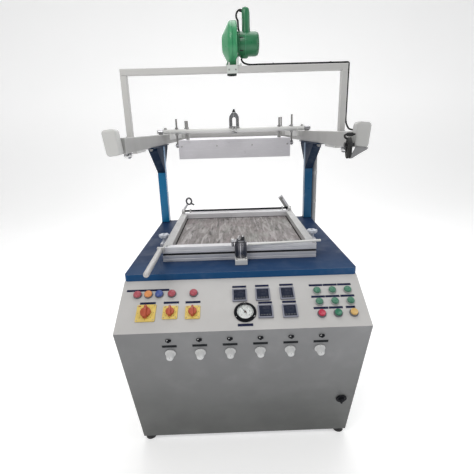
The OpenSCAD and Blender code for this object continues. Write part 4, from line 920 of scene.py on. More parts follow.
# lead: loop at the grip, run along the arch, spare turns, run to the conduit
DZ = 710
LEAD_A = [(30.2, 255, 1567), (26, 255, 1568), (20, 255, 1566), (14.5, 255, 1560), (12, 255, 1552), (12.6, 255, 1544),
          (16.2, 255, 1537), (17.6, 255, 1528), (18, 255, 1515), (19, 255, 1508), (21, 255, 1502.6)]
LEAD_B = [(27, 256, 1415.2), (27.6, 255, 1412), (30, 252, 1406), (35, 247, 1400.5), (43, 240, 1396), (51, 233, 1393), (60, 226, 1391), (72, 220, 1390),
          (90, 218, 1390), (150, 218, 1390), (220, 218, 1390), (290, 218, 1390), (350, 218, 1390), (378, 218, 1390),
          (390, 218, 1390.4), (396.5, 218, 1389.6), (399.6, 218, 1386), (399.6, 218, 1377), (399.3, 218, 1320), (399.3, 218, 1260),
          (399.3, 218, 1204), (400.5, 214, 1188), (403, 203, 1175), (404, 188, 1168), (404, 160, 1165),
          (404, 120, 1164), (404, 86, 1164)]
LEAD_C = [(404, 86, 1122), (404, 104, 1122), (404, 170, 1121), (404, 300, 1120), (404, 420, 1117),
          (406, 490, 1112), (409, 560, 1106), (413, 640, 1098), (415, 700, 1091), (415.5, 730, 1086),
          (415, 745, 1079), (415, 748, 1070.2)]
LEAD_D = [(388, 54, 1151.5), (381, 54, 1151.5), (374, 54, 1151.5)]
LEAD_E = [(356, 53.6, 1151.5), (351.5, 53.4, 1151), (348, 53, 1148.5), (347.6, 52, 1144.5), (350, 51, 1141), (355.5, 50.5, 1138.6), (362, 50, 1138.2), (366, 49.4, 1139.0)]
p = Part("blower_flex")
for route in (LEAD_A, LEAD_B, LEAD_C, LEAD_D, LEAD_E):
    p.tube([(x, y, z - DZ) for x, y, z in [tuple(v) for v in smooth_path(route, 6)]], 3.15, C["rubber"], seg=14)
# in-line plug with a grooved grip
p.lathe([(0, 0), (4.2, 0), (5.2, 0.8), (5.5, 2), (5.5, 8), (5.0, 8.5), (5.0, 9.5), (5.5, 10), (5.5, 12), (5.0, 12.5), (5.0, 13.5), (5.5, 14), (5.5, 20.5), (5.0, 22), (0, 22.5)],
        C["rubber"], at(354, 54, 441.5) @ XAX, 28)
# six turns on the peg, two side by side in three layers, wound by hand
CM = at(362, 50, 399, 0, 0, -9) @ XAX
SIDE = (-1, 1, 1, -1, -1, 1)
LAY = (0, 0, 1, 1, 2, 2)
turns = []
for i in range(6 * 30 + 1):
    t = min(i / 30, 5.9999)
    k0 = int(t)
    k1 = min(k0 + 1, 5)
    w = max(0.0, (t - k0 - 0.72) / 0.28)
    w = w * w * (3 - 2 * w)
    a = 2 * math.pi * t
    rad = 19.5 + 5.5 * (LAY[k0] * (1 - w) + LAY[k1] * w) + 0.35 * math.sin(3 * a + k0)
    ax = 3.5 * (SIDE[k0] * (1 - w) + SIDE[k1] * w) + 0.35 * math.sin(2 * a + 1.3 * k0)
    turns.append((-rad * math.cos(a), rad * math.sin(a), ax))
p.tube(turns, 3.4, C["rubber"], CM, seg=12)
p.done("blower_lead", "black_rubber", angle=60)

p = Part("lead_ties")
for x in (135, 335):
    p.lathe([(3.3, 0), (4.3, 0), (4.5, 1), (4.5, 4), (4.3, 5), (3.3, 5)], C["black"], at(x - 2.5, 218, 680) @ XAX, 20)
p.lathe([(3.3, 0), (4.4, 0), (4.6, 1), (4.6, 4), (4.4, 5), (3.3, 5)], C["black"], at(399.3, 218, 480), 20)
p.box((395, 215, 480), (400, 221, 485), C["black"])
for a in (60, 235):
    M = CM @ Matrix.Rotation(math.radians(a), 4, "Z") @ Matrix.Translation((25.0, 0, 0)) @ Matrix.Rotation(math.radians(90), 4, "X")
    p.ring(rrect(19.4, 14.8, 3, 5), rrect(18.2, 13.6, 2.6, 5), -1.6, 1.6, C["black"], M)
p.done(slot="black_rubber", bevel=0.3, seg=1)

# --------------------------------------------------------------------------
# Conduit down the right upright
# --------------------------------------------------------------------------
p = Part("conduit")
prof = [(0, -96), (11.2, -96)]
z = -95.0
while z < 356:
    prof += [(11.2, z), (12.4, z + 0.8), (12.4, z + 2.4), (11.2, z + 3.2)]
    z += 4.4
prof += [(11.2, 360), (9.5, 360), (9.2, 350), (0, 350)]
p.lathe(prof, C["conduit"], at(415, 748, 0), 28)
p.done("wiring_conduit", "grey_conduit", angle=60)
p = Part("conduit_fittings")
for z in (80, 230):
    p.lathe([(12.5, 0), (13.4, 0), (13.6, 0.6), (13.6, 15.4), (13.4, 16), (12.5, 16)], C["zinc"], at(415, 748, z), 32)
    p.box((400, 740, z), (402.5, 756, z + 16), C["zinc"])
    screw_head(p, 2.6, TAB @ Matrix.Translation((402.4, 743, z + 8)) @ XAX, C["zinc"], 0.6)
p.lathe([(0, -130), (11, -130), (14.4, -127), (15, -122), (15, -98), (14, -96), (12.4, -96)], C["greyplastic"], at(415, 748, 0), 36)
p.xcyl(400, 415, 748, -113, 13, C["greyplastic"], 32, 1.0)
p.nut(24, 5, C["greyplastic"], at(400, 748, -113) @ XAX)
p.lathe([(12.6, 0), (13.3, 0.4), (13.3, 7), (12.6, 8)], C["greyplastic"], at(415, 748, 352), 32)
p.done(slot="grey_conduit", bevel=0.4, seg=1)

# --------------------------------------------------------------------------
# Heater and carriage
# --------------------------------------------------------------------------
TZ = 463.3
ROD_X = (-300, -244, 238, 304)
ROD_TOP = (526, 515, 521, 534)
cad_copy("heater_shell", "heater_box", C["heater"], 1.0, 2, 32)
cad_copy("heater_elements", "ceramic_elements", C["ceramic"], 2.4, 3, 40)
p = Part("heater_seams", "heater_carriage")
# folded corner seams and screws along the sides
for sx in (-1, 1):
    for y in (741.6, 1302.4):
        p.box((sx * 283.4 - 0.8, y - 0.35, 328), (sx * 283.4 + 0.8, y + 0.35, 418), C["heater"])
    for y in (800, 930, 1060, 1190, 1270):
        M = TAB @ Matrix.Translation((sx * 284.0, y, 352)) @ (XAX if sx > 0 else XAX.inverted())
        screw_head(p, 3.0, M @ Matrix.Scale(0.8, 4), C["zinc"], y)
p.done(slot="galvanised", bevel=0.2, seg=1)

p = Part("hanger_rods", "heater_carriage")
for y in (826, 1226):
    for x, zt in zip(ROD_X, ROD_TOP):
        outer = x in (ROD_X[0], ROD_X[3])
        if not outer and y > 900:
            continue
        z0 = 380 if outer else 408
        p.thread(5.0, z0, zt - 0.8, C["rodm"], at(x, y, 0))
        p.cyl(4.4, zt - 0.9, zt, C["rodm"], at(x, y, 0), 20)
        for z in ([TZ + 12.1, TZ - 20.1, 394.1, 381.9] if outer else [TZ + 12.1, TZ - 20.1, 420.1]):
            p.nut(15.9, 8, C["zinc"], at(x, y, z, 0, 0, 17 * (x % 5)), turn=8)
            p.lathe([(5, 0), (9.1, 0), (9.1, 0.8), (5, 0.8)], C["zinc"], at(x, y, z - 0.1 if z > TZ else z + 7.4), 24)
for x in (-268, -89, 90, 269):
    M = at(x, 742, 389, 90)
    p.lathe([(0, 0), (4, 0), (4, 0.5), (3.3, 1.4), (1.8, 1.95), (0, 2.0)], C["zinc"], M, 24)
p.done("heater_fasteners", "zinc_steel", angle=50)

p = Part("carriage_tubes", "heater_carriage")
for y in (826, 1226):
    p.lathe([(0, 0), (11.2, 0), (12, 0.8), (12, 737.2), (11.2, 738), (0, 738)], C["white"], at(-369, y, TZ) @ XAX, 36)
    p.xcyl(-399, 399, y, TZ, 5.95, C["steel"], 24)
    for s in (-1, 1):
        M = at(s * 398.4, y, TZ) @ (XAX if s > 0 else XAX.inverted())
        p.lathe([(0, 0), (7.6, 0), (9, 1.0), (9, 3.2), (7.4, 4.6), (4, 5), (0, 5)], C["zinc"], M, 28)
        # short bolt through the tube outside the rail
        p.cyl(5, 0, 21.5, C["zinc"], at(s * 359, y, TZ), 24, 0.6)
        p.nut(15.5, 7, C["zinc"], at(s * 359, y, TZ + 12), turn=20)
        # weld of the rail on the tube
        p.lathe([(12.0, 0), (13.6, 0.6), (13.4, 1.8), (12.0, 2.6)], C["white"], at(s * 330 - (2.6 if s > 0 else 0), y, TZ) @ XAX, 28)
for s in (-1, 1):
    lo, hi = sorted((s * 330, s * 336))
    v = [(804, -40), (1248, -40), (1248, -2), (804, -2)]
    pts = []
    for y0 in (804,):
        pts = [(804, TZ - 40), (1248, TZ - 40), (1248, TZ - 2)] + [(1226 + 12 * math.cos(math.radians(a)), TZ + 12 * math.sin(math.radians(a))) for a in range(-10, -171, -16)] + \
              [(826 + 12 * math.cos(math.radians(a)), TZ + 12 * math.sin(math.radians(a))) for a in range(-10, -171, -16)] + [(804, TZ - 2)]
    n = len(pts)
    p.add([(lo, y, z) for y, z in pts] + [(hi, y, z) for y, z in pts],
          [(i, (i + 1) % n, n + (i + 1) % n, n + i) for i in range(n)] + [tuple(range(n)), tuple(range(n, 2 * n))], C["white"])
p.done("carriage_frame", "white_paint", 0.6, 2, 50, C["white_e"])

for name, node, body, y in (("front_roller_set", "front_rollers", "front_roller_pair", 826), ("rear_roller_set", "rear_rollers", "rear_roller_pair", 1226)):
    p = Part(name, body)
    for s in (-1, 1):
        M = at(s * 372, y, TZ) @ (XAX if s > 0 else XAX.inverted())
        p.lathe([(6.02, 0.6), (8.4, 0.6), (8.6, 1.4), (10.8, 1.4), (11, 0.5), (12.2, 0), (13, 0.9), (13, 23.1), (12.2, 24), (11, 23.5),
                 (10.8, 22.6), (8.6, 22.6), (8.4, 23.4), (6.02, 23.4), (6.02, 0.6)], C["steel"], M, 40)
        for k in range(8):
            R = Matrix.Rotation(math.radians(45 * k), 4, "Z") @ Matrix.Translation((9.7, 0, 1.6))
            p.lathe([(0, -0.9), (0.7, -0.6), (0.95, 0), (0.7, 0.6), (0, 0.9)], C["zinc"], M @ R, 10)
    p.done(node, "zinc_steel", angle=40)


def clevis():
    """Polished clevis on the front cross tube: a domed fork with a round eye."""
    p = Part("chrome_clevis", "heater_carriage")
    M = at(2, 826, TZ + 12.05)
    outline = [(-26, 4), (26, 4), (26, 44), (24.5, 55), (20, 65), (13.5, 72.5), (8, 75.9), (-8, 75.9), (-13.5, 72.5), (-20, 65), (-24.5, 55), (-26, 44)]
    inner = [(-9, 8), (9, 8), (9, 40)] + [(9 * math.cos(math.radians(a)), 42 + 9 * math.sin(math.radians(a))) for a in range(0, 181, 20)] + [(-9, 40)]
    F = M @ Matrix.Rotation(math.radians(90), 4, "X")
    # two cheeks and a crown, each a rounded slab
    left = [(-26, 4), (-9, 4), (-9, 42), (-7.8, 46.5), (-4.5, 49.8), (0, 51), (0, 75.9), (-8, 75.9), (-13.5, 72.5), (-20, 65), (-24.5, 55), (-26, 44)]
    p.prism(left, -15, 15, C["chrome"], F)
    p.prism([(-x, y) for x, y in left][::-1], -15, 15, C["chrome"], F)
    p.box((-9.2, -14.9, 4), (9.2, 14.9, 8), C["chrome"], M)
    p.prism(rrect(56, 34, 3, 5), 0, 4, C["zinc"], M)
    p.done("carriage_clevis", "chrome", 1.6, 3, 30)
    d = Part("clevis_hardware", "heater_carriage")
    d.nut(15.6, 9, C["blackgloss"], M @ Matrix.Translation((0, 0, 75.9)), turn=10)
    d.cyl(5, 84.8, 91.8, C["blackgloss"], M, 24, 1.0)
    for x in (-8, 8):
        for y in (-14.9, 14.9):
            L = M @ Matrix.Translation((x, y, 0))
            d.thread(2.5, -31, 6, C["chrome"], L, 1.2, 16, 0.3)
            d.nut(6.6, 2.8, C["chrome"], L @ Matrix.Translation((0, 0, -30.9)), turn=x + y)
            d.nut(6.6, 2.0, C["chrome"], L @ Matrix.Translation((0, 0, 3.9)), turn=x - y)
    d.box((-14, -18.5, -28.1), (14, 18.5, -24.1), C["chrome"], M)
    for x in (-22, 22):
        for y in (-10, 10):
            screw_head(d, 2.6, M @ Matrix.Translation((x * 1.1, y, 4)) @ Matrix.Scale(0.8, 4), C["zinc"], x)
    d.done(slot="chrome", bevel=0.3, seg=1)


clevis()

# --------------------------------------------------------------------------
# Clamping frames
# --------------------------------------------------------------------------
X0, Y0, Y1 = 286.0, 118.0, 690.0


def rails(part, z0, z1, groove, M=TAB):
    """Four mitred rails with a shallow groove along the outer face."""
    w = 32.0
    prof = [(0, z0), (0, z1), (w, z1), (w, z0)]
    if groove:
        g0, g1 = groove
        prof = [(0, z0), (0, g0), (1.6, g0 + 0.2), (1.6, g1 - 0.2), (0, g1), (0, z1), (w, z1), (w, z0)]
    gap = 0.12
    for side in range(4):
        v = []
        for end in (0, 1):
            for d, z in prof:
                if side == 0:
                    x = (-X0 + d + gap) if end == 0 else (X0 - d - gap)
                    v.append((x, Y0 + d, z))
                elif side == 2:
                    x = (X0 - d - gap) if end == 0 else (-X0 + d + gap)
                    v.append((x, Y1 - d, z))
                elif side == 1:
                    y = (Y0 + d + gap) if end == 0 else (Y1 - d - gap)
                    v.append((X0 - d, y, z))
                else:
                    y = (Y1 - d - gap) if end == 0 else (Y0 + d + gap)
                    v.append((-X0 + d, y, z))
        n = len(prof)
        f = [(i, (i + 1) % n, n + (i + 1) % n, n + i) for i in range(n)] + [tuple(range(n - 1, -1, -1)), tuple(range(n, 2 * n))]
        # rails along Y take the darker, painted-shade copy of the aluminium
        part.add(v, f, C["alu"] if side in (0, 2) else C["alu_y"], M)


p = Part("lower_frame")
rails(p, 0, 24, (10, 13))
p.done("lower_clamp_frame", "rail_aluminium", 0.9, 2, 30)
p = Part("lower_frame_lugs")
for s in (-1, 1):
    lo, hi = sorted((s * 240, s * 248))
    pts = [(690, 0), (738, 0)] + [(728 + 10 * math.cos(math.radians(a)), 58 + 10 * math.sin(math.radians(a))) for a in range(-10, 191, 20)] + [(690, 24)]
    n = len(pts)
    p.add([(lo, y, z) for y, z in pts] + [(hi, y, z) for y, z in pts],
          [(i, (i + 1) % n, n + (i + 1) % n, n + i) for i in range(n)] + [tuple(range(n)), tuple(range(n, 2 * n))], C["zinc"])
    lo, hi = sorted((s * 286, s * 332))
    p.box((lo, 312, 0), (hi, 348, 9), C["alu"])
    p.bead([(s * 286.5, 312, 8.6), (s * 286.5, 348, 8.6)], 1.8)
p.done(slot="zinc_steel", bevel=0.7)

cad_copy("clamp_gasket", "seal_ring", C["gasket"], 1.6, 3)

p = Part("upper_frame", "clamp_lid")
rails(p, 32.3, 56, (42, 44.2))
p.done("upper_clamp_frame", "rail_aluminium", 0.9, 2, 30)
p = Part("upper_frame_fittings", "clamp_lid")
for s in (-1, 1):
    lo, hi = sorted((s * 272, s * 284))
    pts = [(680, 56.1), (690, 40.5), (728, 45.2)] + [(728 + 13 * math.cos(math.radians(a)), 58 + 13 * math.sin(math.radians(a))) for a in range(-80, 91, 17)] + [(680, 66)]
    n = len(pts)
    p.add([(lo, y, z) for y, z in pts] + [(hi, y, z) for y, z in pts],
          [(i, (i + 1) % n, n + (i + 1) % n, n + i) for i in range(n)] + [tuple(range(n)), tuple(range(n, 2 * n))], C["alu_y"])
    # corner screws of the rails
    for y in (134, 674):
        screw_head(p, 4.2, at(s * 270, y, 56), C["zinc"], s * y)
# right arm: upright flat bar that leans inward
M = at(279, 739, 50) @ Matrix.Rotation(math.radians(-33), 4, "Y")
p.box((-12, -2.5, 0), (12, 2.5, 84), C["alu"], M)
p.prism([(-12, 4), (0, 4), (2, 78), (-12, 78)], -0.6, 0.3, C["zinc"], M @ Matrix.Translation((0, -2.5, 0)) @ Matrix.Rotation(math.radians(90), 4, "X"))
p.lathe([(0, 2.5), (5, 2.5), (5, 3.4), (3.6, 5), (0, 5.2)], C["zinc"], M @ Matrix.Translation((3, 0, 70)) @ Matrix.Rotation(math.radians(90), 4, "X"), 20)
p.done(slot="rail_aluminium", bevel=0.8)
p = Part("frame_eye", "clamp_lid")
p.tube([tuple(v) for v in smooth_path([(-278, 738, 65), (-272.5, 737.8, 73), (-267, 737.5, 80), (-262, 737.2, 87), (-258, 737, 92)], 5)], [5.5] * 10 + [5.2] * 6 + [5.0] * 5, C["alu"], seg=16)
ring = [(-250 + 13.6 * math.cos(math.radians(a)), 737, 108 + 16.4 * math.sin(math.radians(a))) for a in range(0, 361, 10)]
p.tube(ring, 4.9, C["gun"], seg=16, cap=False)
p.tube([(-241, 737, 97.2), (-232, 737, 92.2), (-225, 737, 88.6), (-223, 737, 87.6)], [4.9, 4.7, 4.4, 3.4], C["gun"], seg=16)
p.done(slot="zinc_steel", angle=50)
p = Part("lift_bar", "clamp_lid")
p.lathe([(0, 0), (3.8, 0), (4.5, 0.7), (4.5, 272.3), (3.8, 273), (0, 273)], C["white"], at(30, 110.5, 60.2, 0, 89.3, 2.9), 28)
p.lathe([(5.4, 0), (4.6, 0.6), (3.5, 1.2), (3.5, 4.6), (2.8, 5), (0, 5)], C["zinc"], at(44, 126, 56.04), 20)
p.lathe([(5.4, 0), (4.6, 0.6), (3.5, 1.2), (3.5, 6.6)], C["zinc"], at(276, 126, 56.04), 20)
p.box((40, 108, 56.04), (48, 128, 58.6), C["zinc"])
p.done(slot="rail_aluminium", angle=40)

p = Part("lift_handle", "clamp_lid")
prof = [(0, 0), (9.5, 0), (9.5, 216)] + [(9.5 * math.cos(math.radians(a)), 234 - 1.6 + 9.5 * math.sin(math.radians(a))) for a in range(0, 91, 10)]
M = at(-291.5, 110, 50) @ Matrix.Rotation(math.radians(90), 4, "X")
p.lathe(prof, C["alu_y"], M, 36)
p.done("frame_handle", "rail_aluminium", angle=35)
p = Part("handle_elbow", "clamp_lid")
p.box((-302, 103, 40), (-276, 117.97, 60), C["alu_y"])
screw_head(p, 3.4, at(-282, 103, 50, 90), C["zinc"], 0.7)
p.done(slot="rail_aluminium", bevel=2.6, seg=3)
cad_copy("hinge_shaft", "hinge_bar", lambda c, n: C["alu"] if c.y < 722.6 and c.z < 56 else C["flatblack"], 0.6)
cad_copy("side_guide", "side_guide_bar", C["black"], 1.2)

# front latch
p = Part("latch_post")
p.box((-18, 58, 0), (26, 116.5, 20), C["white"])
p.done("latch_body", "zinc_steel", 1.8, 3, 30, C["white_e"])
p = Part("latch_barrel")
p.lathe([(8.05, 50), (8.05, 76.8), (9, 78), (20.6, 78), (22, 76.8), (22, 71), (21.4, 70.4), (21.4, 69), (22, 68.4), (22, 26), (21, 24.2), (20, 24), (20, 20), (0, 20)], C["barrel"], at(4, 94.5, 0), 64)
for x, y in ((-12, 66), (20, 66)):
    p.lathe([(0, 0), (3.4, 0), (3.4, 2.4), (2.9, 3), (1.9, 3), (1.9, 1.2), (0, 1.2)], C["zinc"], at(x, y, 20), 20)
p.done(slot="zinc_steel", angle=40)
p = Part("latch_swing_arm", "latch")
M = at(4, 94.5, 0)
p.lathe([(0, 51), (8, 51), (8, 78.4), (0, 78.4)], C["steel"], M, 32)
p.lathe([(0, 78.4), (16.2, 78.4), (17, 79.2), (17, 85.2), (16.2, 86), (0, 86)], C["gun"], M, 48)
arm = [(-2, -6.5), (-2, 6.5), (-30, 6.5), (-34, 4.5), (-34, -4.5), (-30, -6.5)]
p.prism(arm[::-1], 78.5, 85.9, C["steel"], M)
p.done("latch_arm", "zinc_steel", 0.8, 2)
p = Part("latch_arm_hardware", "latch")
p.nut(13.0, 6, C["steel"], at(-2, 92, 85.9), turn=12)
p.thread(4.2, 91.8, 100.8, C["chrome"], at(-2, 92, 0))
p.box((6, 84, 85.9), (18, 105, 97), C["mark"])
p.cyl(3.4, 96.8, 102.9, C["chrome"], at(12, 90, 0), 20, 0.8)
p.cyl(4.5, 60, 79, C["gun"], at(-25, 94.5, 0), 24, 0.8)
p.nut(11, 4.0, C["chrome"], at(-25, 94.5, 85.8), turn=5)
p.done(slot="zinc_steel", bevel=0.5, seg=2)


def star(name, body, node, x):
    p = Part(name, body)
    M = at(x, 330, 0)
    wob = lambda a, z, r: 1 + (0.155 * math.cos(6 * a) if r > 12 else 0.0)
    p.lathe([(4.3, 9.4), (8.4, 9.4), (9, 10.2), (9, 30), (10.4, 32.2), (15.0, 33.0), (19.2, 34.6), (20.0, 37.5), (20.0, 43.5), (19.2, 46.6), (15.0, 48.0), (10.5, 47.2), (9.6, 47.6), (6, 48), (0, 48)],
            C["knob_l"], M, 96, wobble=wob)
    p.lathe([(0, 48), (5.4, 48), (5.2, 48.02)], C["zinc"], M, 24)
    p.done(node, "white_knob", angle=50)


star("star_knob_left", "knob_left", "side_knob_left", -316)
star("star_knob_right", "knob_right", "side_knob_right", 316)

# --------------------------------------------------------------------------
# Control panel
# --------------------------------------------------------------------------
LAMPS = [(-346, 58, "lens_red"), (-310, 58, "lens_orange"), (-274, 58, "lens_blue"), (-232, 58, "lens_red"), (-160, 58, "lens_red"),
         (250, 64.5, "lens_green"), (301, 64.5, "lens_green"), (352, 64.5, "lens_green"),
         (250, 108, "lens_green"), (301, 108, "lens_green"), (352, 108, "lens_green")]
BUTTONS = [(250, 151.5, "btn_red", "button_red", "push_red"), (302, 151.5, "btn_green", "button_green", "push_green"), (352, 151.5, "btn_yellow", "button_yellow", "push_yellow")]
CAMS = [(-309, 128, 62), (-231.5, 128, 48), (-159.5, 130, 48)]
INSTR = [(-7.5, 72), (69, 71), (150, 70), (73, 136), (151, 137)]
ZONES = (-235, -139, -43, 53, 149, 245)

p = Part("bezels")
for i, (x, s) in enumerate([(a[0], a[1]) for a in LAMPS] + [(b[0], b[1]) for b in BUTTONS]):
    m = C["bezel_l"] if 5 <= i <= 10 else C["bezelgrey"]
    M = P1(x, s)
    p.lathe([(14.2, 0), (14.2, 1.2), (13.9, 1.8), (13.9, 4.2), (13.2, 5.2), (12.4, 5.5), (11.95, 5.1), (11.95, 1.6), (6.3, 1.5), (6.3, -20)], m, M, 56,
            wobble=lambda a, z, r: 1 + (0.010 * math.cos(28 * a) if 13.5 < r < 14.1 else 0))
    p.lathe([(11, -20), (11, 0)], C["darkgrey"], M, 24)
    p.nut(26, 4, C["darkgrey"], M @ Matrix.Translation((0, 0, -9)))
p.done("panel_bezels", "dark_plastic", angle=40)

p = Part("lenses")
for x, s, k in LAMPS:
    M = P1(x, s)
    rl = 11.9 if k == "lens_green" else 13.1
    prof = [(0, 1.5), (11.8, 1.5), (11.8, 5.55), (rl - 0.2, 5.6), (rl, 6.0), (rl, 7.4)] + [(rl * math.cos(math.radians(a)), 7.8 + 5.4 * math.sin(math.radians(a))) for a in range(6, 91, 12)]
    prof[-1] = (0, prof[-1][1])
    p.lathe(prof, C[k], M, 48, wobble=lambda a, z, r: 1 + (0.006 * math.cos(24 * a) if z < 8 and r > 10 else 0))
p.done("lamp_lenses", "lamp_red", angle=50)

for x, s, k, node, body in BUTTONS:
    p = Part(node + "_cap", body)
    M = P1(x, s)
    p.lathe([(0, -14), (6, -14), (6, 5.2), (10.8, 5.2), (11.5, 5.8), (11.5, 10.4), (11.0, 11.3), (10.2, 11.75), (8.6, 11.6), (7.6, 11.1), (0, 10.9)], C[k], M, 56)
    p.done(node, node, angle=40)

p = Part("cam_plates")
q = Part("cam_plate_print")
for x, s, w in CAMS:
    M = P1(x, s)
    p.prism(rrect(w, w, 4, 6), 0, 3.5, C["yellow"], M)
    p.prism([(w * 0.36 * math.cos(math.radians(a)), w * 0.36 * math.sin(math.radians(a))) for a in range(0, 360, 8)], 3.4, 5.5, C["yellow"], M)
    for sx in (-1, 1):
        for sy in (-1, 1):
            screw_head(q, 1.9, M @ Matrix.Translation((sx * (w / 2 - 5), sy * (w / 2 - 5), 3.5)), C["zinc"], sx + sy)
    # scale ticks round the lever
    for a in (0, 45, 90, 135, 180, 225, 270, 315):
        R = Matrix.Rotation(math.radians(a), 4, "Z")
        q.box((w * 0.375, -0.5, 3.5), (w * 0.43, 0.5, 3.75), C["mark"], M @ R)
    q.box((-w * 0.40, w * 0.38, 3.5), (-w * 0.30, w * 0.44, 3.72), C["red"], M)
p.done("cam_switch_plates", "yellow_plate", 0.8, 2, 30)
q.done(slot="yellow_plate", angle=50)

for i, (x, s, w) in enumerate(CAMS):
    k = 60 if i == 0 else 48
    p = Part(f"cam_lever_{i + 1}", f"switch_{i + 1}")
    M = P1(x, s)
    r = k * 0.28
    p.lathe([(0, -18), (4.3, -18), (4.3, 6), (r - 0.8, 6), (r, 6.8), (r, 12.2), (r - 1.2, 13.6), (r * 0.55, 14.2), (0, 14.2)], C["red"], M, 56,
            wobble=lambda a, z, rr: 1 + (0.012 * math.cos(20 * a) if rr > 9 and 6.5 < z < 12.6 else 0))
    # lever: waisted grip, wide at the ends
    h = k * 0.36
    out = [(k * 0.115, -h + 2.5), (k * 0.085, -h), (-k * 0.085, -h), (-k * 0.115, -h + 2.5), (-k * 0.085, -h * 0.35), (-k * 0.085, h * 0.35), (-k * 0.10, h - 4), (-k * 0.03, h), (k * 0.03, h), (k * 0.10, h - 4), (k * 0.085, h * 0.35), (k * 0.085, -h * 0.35)]
    p.prism(out[::-1], 6.2, 20, C["red"], M, top=[(a * 0.8, b * 0.97) for a, b in out[::-1]])
    p.box((-0.9, h * 0.25, 19.8), (0.9, h * 0.90, 20.0), C["knob"], M)
    p.done(f"cam_knob_{i + 1}", "red_knob", 0.9, 3, 30)

SEG = {"0": "abcdef", "1": "bc", "2": "abged", "3": "abgcd", "4": "fgbc", "5": "afgcd", "6": "afgedc", "7": "abc", "8": "abcdefg", "9": "abcdfg"}


def digit(part, ch, x, y, w, h, on, off, M, z):
    t = w * 0.17
    boxes = {"a": (0, h, w, h), "d": (0, 0, w, 0), "g": (0, h / 2, w, h / 2), "f": (0, h / 2, 0, h), "e": (0, 0, 0, h / 2), "b": (w, h / 2, w, h), "c": (w, 0, w, h / 2)}
    for k, (x0, y0, x1, y1) in boxes.items():
        m = on if k in SEG[ch] else off
        if y0 == y1:
            part.box((x + x0 + t * 0.7, y + y0 - t / 2, z), (x + x1 - t * 0.7, y + y0 + t / 2, z + 0.12), m, M)
        else:
            part.box((x + x0 - t / 2, y + y0 + t * 0.7, z), (x + x0 + t / 2, y + y1 - t * 0.7, z + 0.12), m, M)


p = Part("instrument_cases")
q = Part("instrument_faces")
for i, (x, s) in enumerate(INSTR):
    M = P1(x, s)
    p.ring(rrect(48, 48, 2.5, 5), rrect(39.4, 39.4, 1.6, 5), 0, 6, C["caselav"], M)
    p.box((-22.4, -22.4, -60), (22.4, 22.4, 0.2), C["black"], M)
    p.prism(rrect(39.3, 39.3, 1.6, 5), 0.1, 3.6, C["screen"], M)
    q.prism(rrect(35.5, 25.0, 1.4, 5), 3.5, 4.0, C["screen"], M @ Matrix.Translation((0, 5.6, 0)))
    for j, ch in enumerate("180" if i in (0, 2) else "120" if i in (1, 3) else "045"):
        digit(q, ch, -9.5 + j * 8.6, 8.4, 5.2, 8.0, C["led_r"], C["led_off"], M, 4.0)
    for j, ch in enumerate("200" if i in (0, 2) else "150" if i in (1, 3) else "060"):
        digit(q, ch, -7.2 + j * 6.6, -3.6, 3.8, 5.8, C["led_g"], C["led_off"], M, 4.0)
    for j in range(4):
        q.prism(rrect(6.2, 4.0, 1.2, 4), 3.5, 4.9, C["darkgrey"], M @ Matrix.Translation(((j - 1.5) * 9, -13.6, 0)))
    for j in range(3):
        q.prism(rrect(1.6, 1.6, 0.7, 4), 3.9, 4.15, C["led_g"] if j == i % 3 else C["led_off"], M @ Matrix.Translation((-15, 14 - 4 * j, 0)))
p.done("controllers", "dark_plastic", 0.6, 2, 30)
q.done(slot="dark_plastic", bevel=0.15, seg=1)

# dial gauge
GM = P1(8, 136)
p = Part("gauge_body")
p.lathe([(26.8, -30), (26.8, 0), (35.2, 0), (36, 0.7), (36, 2.3), (35.4, 3), (31.0, 3.1), (30.2, 4.0), (30.2, 8.2), (29.4, 9), (27.4, 9), (26.7, 8.4), (26.7, 2.6), (0, 2.6)], C["flatblack"], GM, 80)
p.lathe([(0, -48), (7, -48), (7, -30), (26.8, -30)], C["black"], GM, 40)
for a in (90, 210, 330):
    R = Matrix.Rotation(math.radians(a), 4, "Z") @ Matrix.Translation((32.9, 0, 3))
    screw_head(p, 2.3, GM @ R, C["chrome"], a)
p.done("gauge_case", "black_plastic", angle=40)
p = Part("gauge_dial")
p.lathe([(0, 2.5), (0, 2.7), (26.6, 2.7), (26.6, 2.5)], C["dial"], GM, 64)
for k in range(0, 51):
    a = math.radians(225 - 270 * k / 50)
    big = k % 5 == 0
    R = Matrix.Rotation(a, 4, "Z")
    p.box((20.0 if big else 21.6, -0.32 if big else -0.18, 2.7), (23.6, 0.32 if big else 0.18, 2.82), C["mark"], GM @ R)
arcp = [(24.3 * math.cos(math.radians(225 - 2.7 * k)), 24.3 * math.sin(math.radians(225 - 2.7 * k)), 2.78) for k in range(0, 101, 4)]
p.tube(arcp, 0.22, C["mark"], GM, seg=6)
for k in range(0, 11, 2):
    a = math.radians(225 - 27 * k)
    cx, cy2 = 15.6 * math.cos(a), 15.6 * math.sin(a)
    txt = str(k)
    ww = 2.6
    for j, ch in enumerate(txt):
        digit(p, ch, cx - ww * len(txt) / 2 + j * 3.6 - 0.2, cy2 - 2.2, ww, 4.4, C["mark"], C["dial"], GM, 2.68)
p.done(slot="black_plastic", angle=60)
p = Part("gauge_glass")
p.lathe([(0, 7.6), (26.5, 7.6), (26.5, 8.1), (0, 8.5)], C["glass"], GM, 56)
p.done(slot="black_plastic", angle=60)
p = Part("dial_needle", "needle")
R = Matrix.Rotation(math.radians(38), 4, "Z")
p.prism([(-1.1, -8), (1.1, -8), (0.75, 2), (0.25, 21.5), (-0.25, 21.5), (-0.75, 2)], 4.5, 5.1, C["needle"], GM @ R)
p.lathe([(0, -2.5), (1.5, -2.5), (1.5, 4.0), (3.3, 4.3), (3.3, 5.4), (2.6, 5.9), (0, 6)], C["needle"], GM, 28)
p.done("gauge_needle", "needle_red", angle=40)

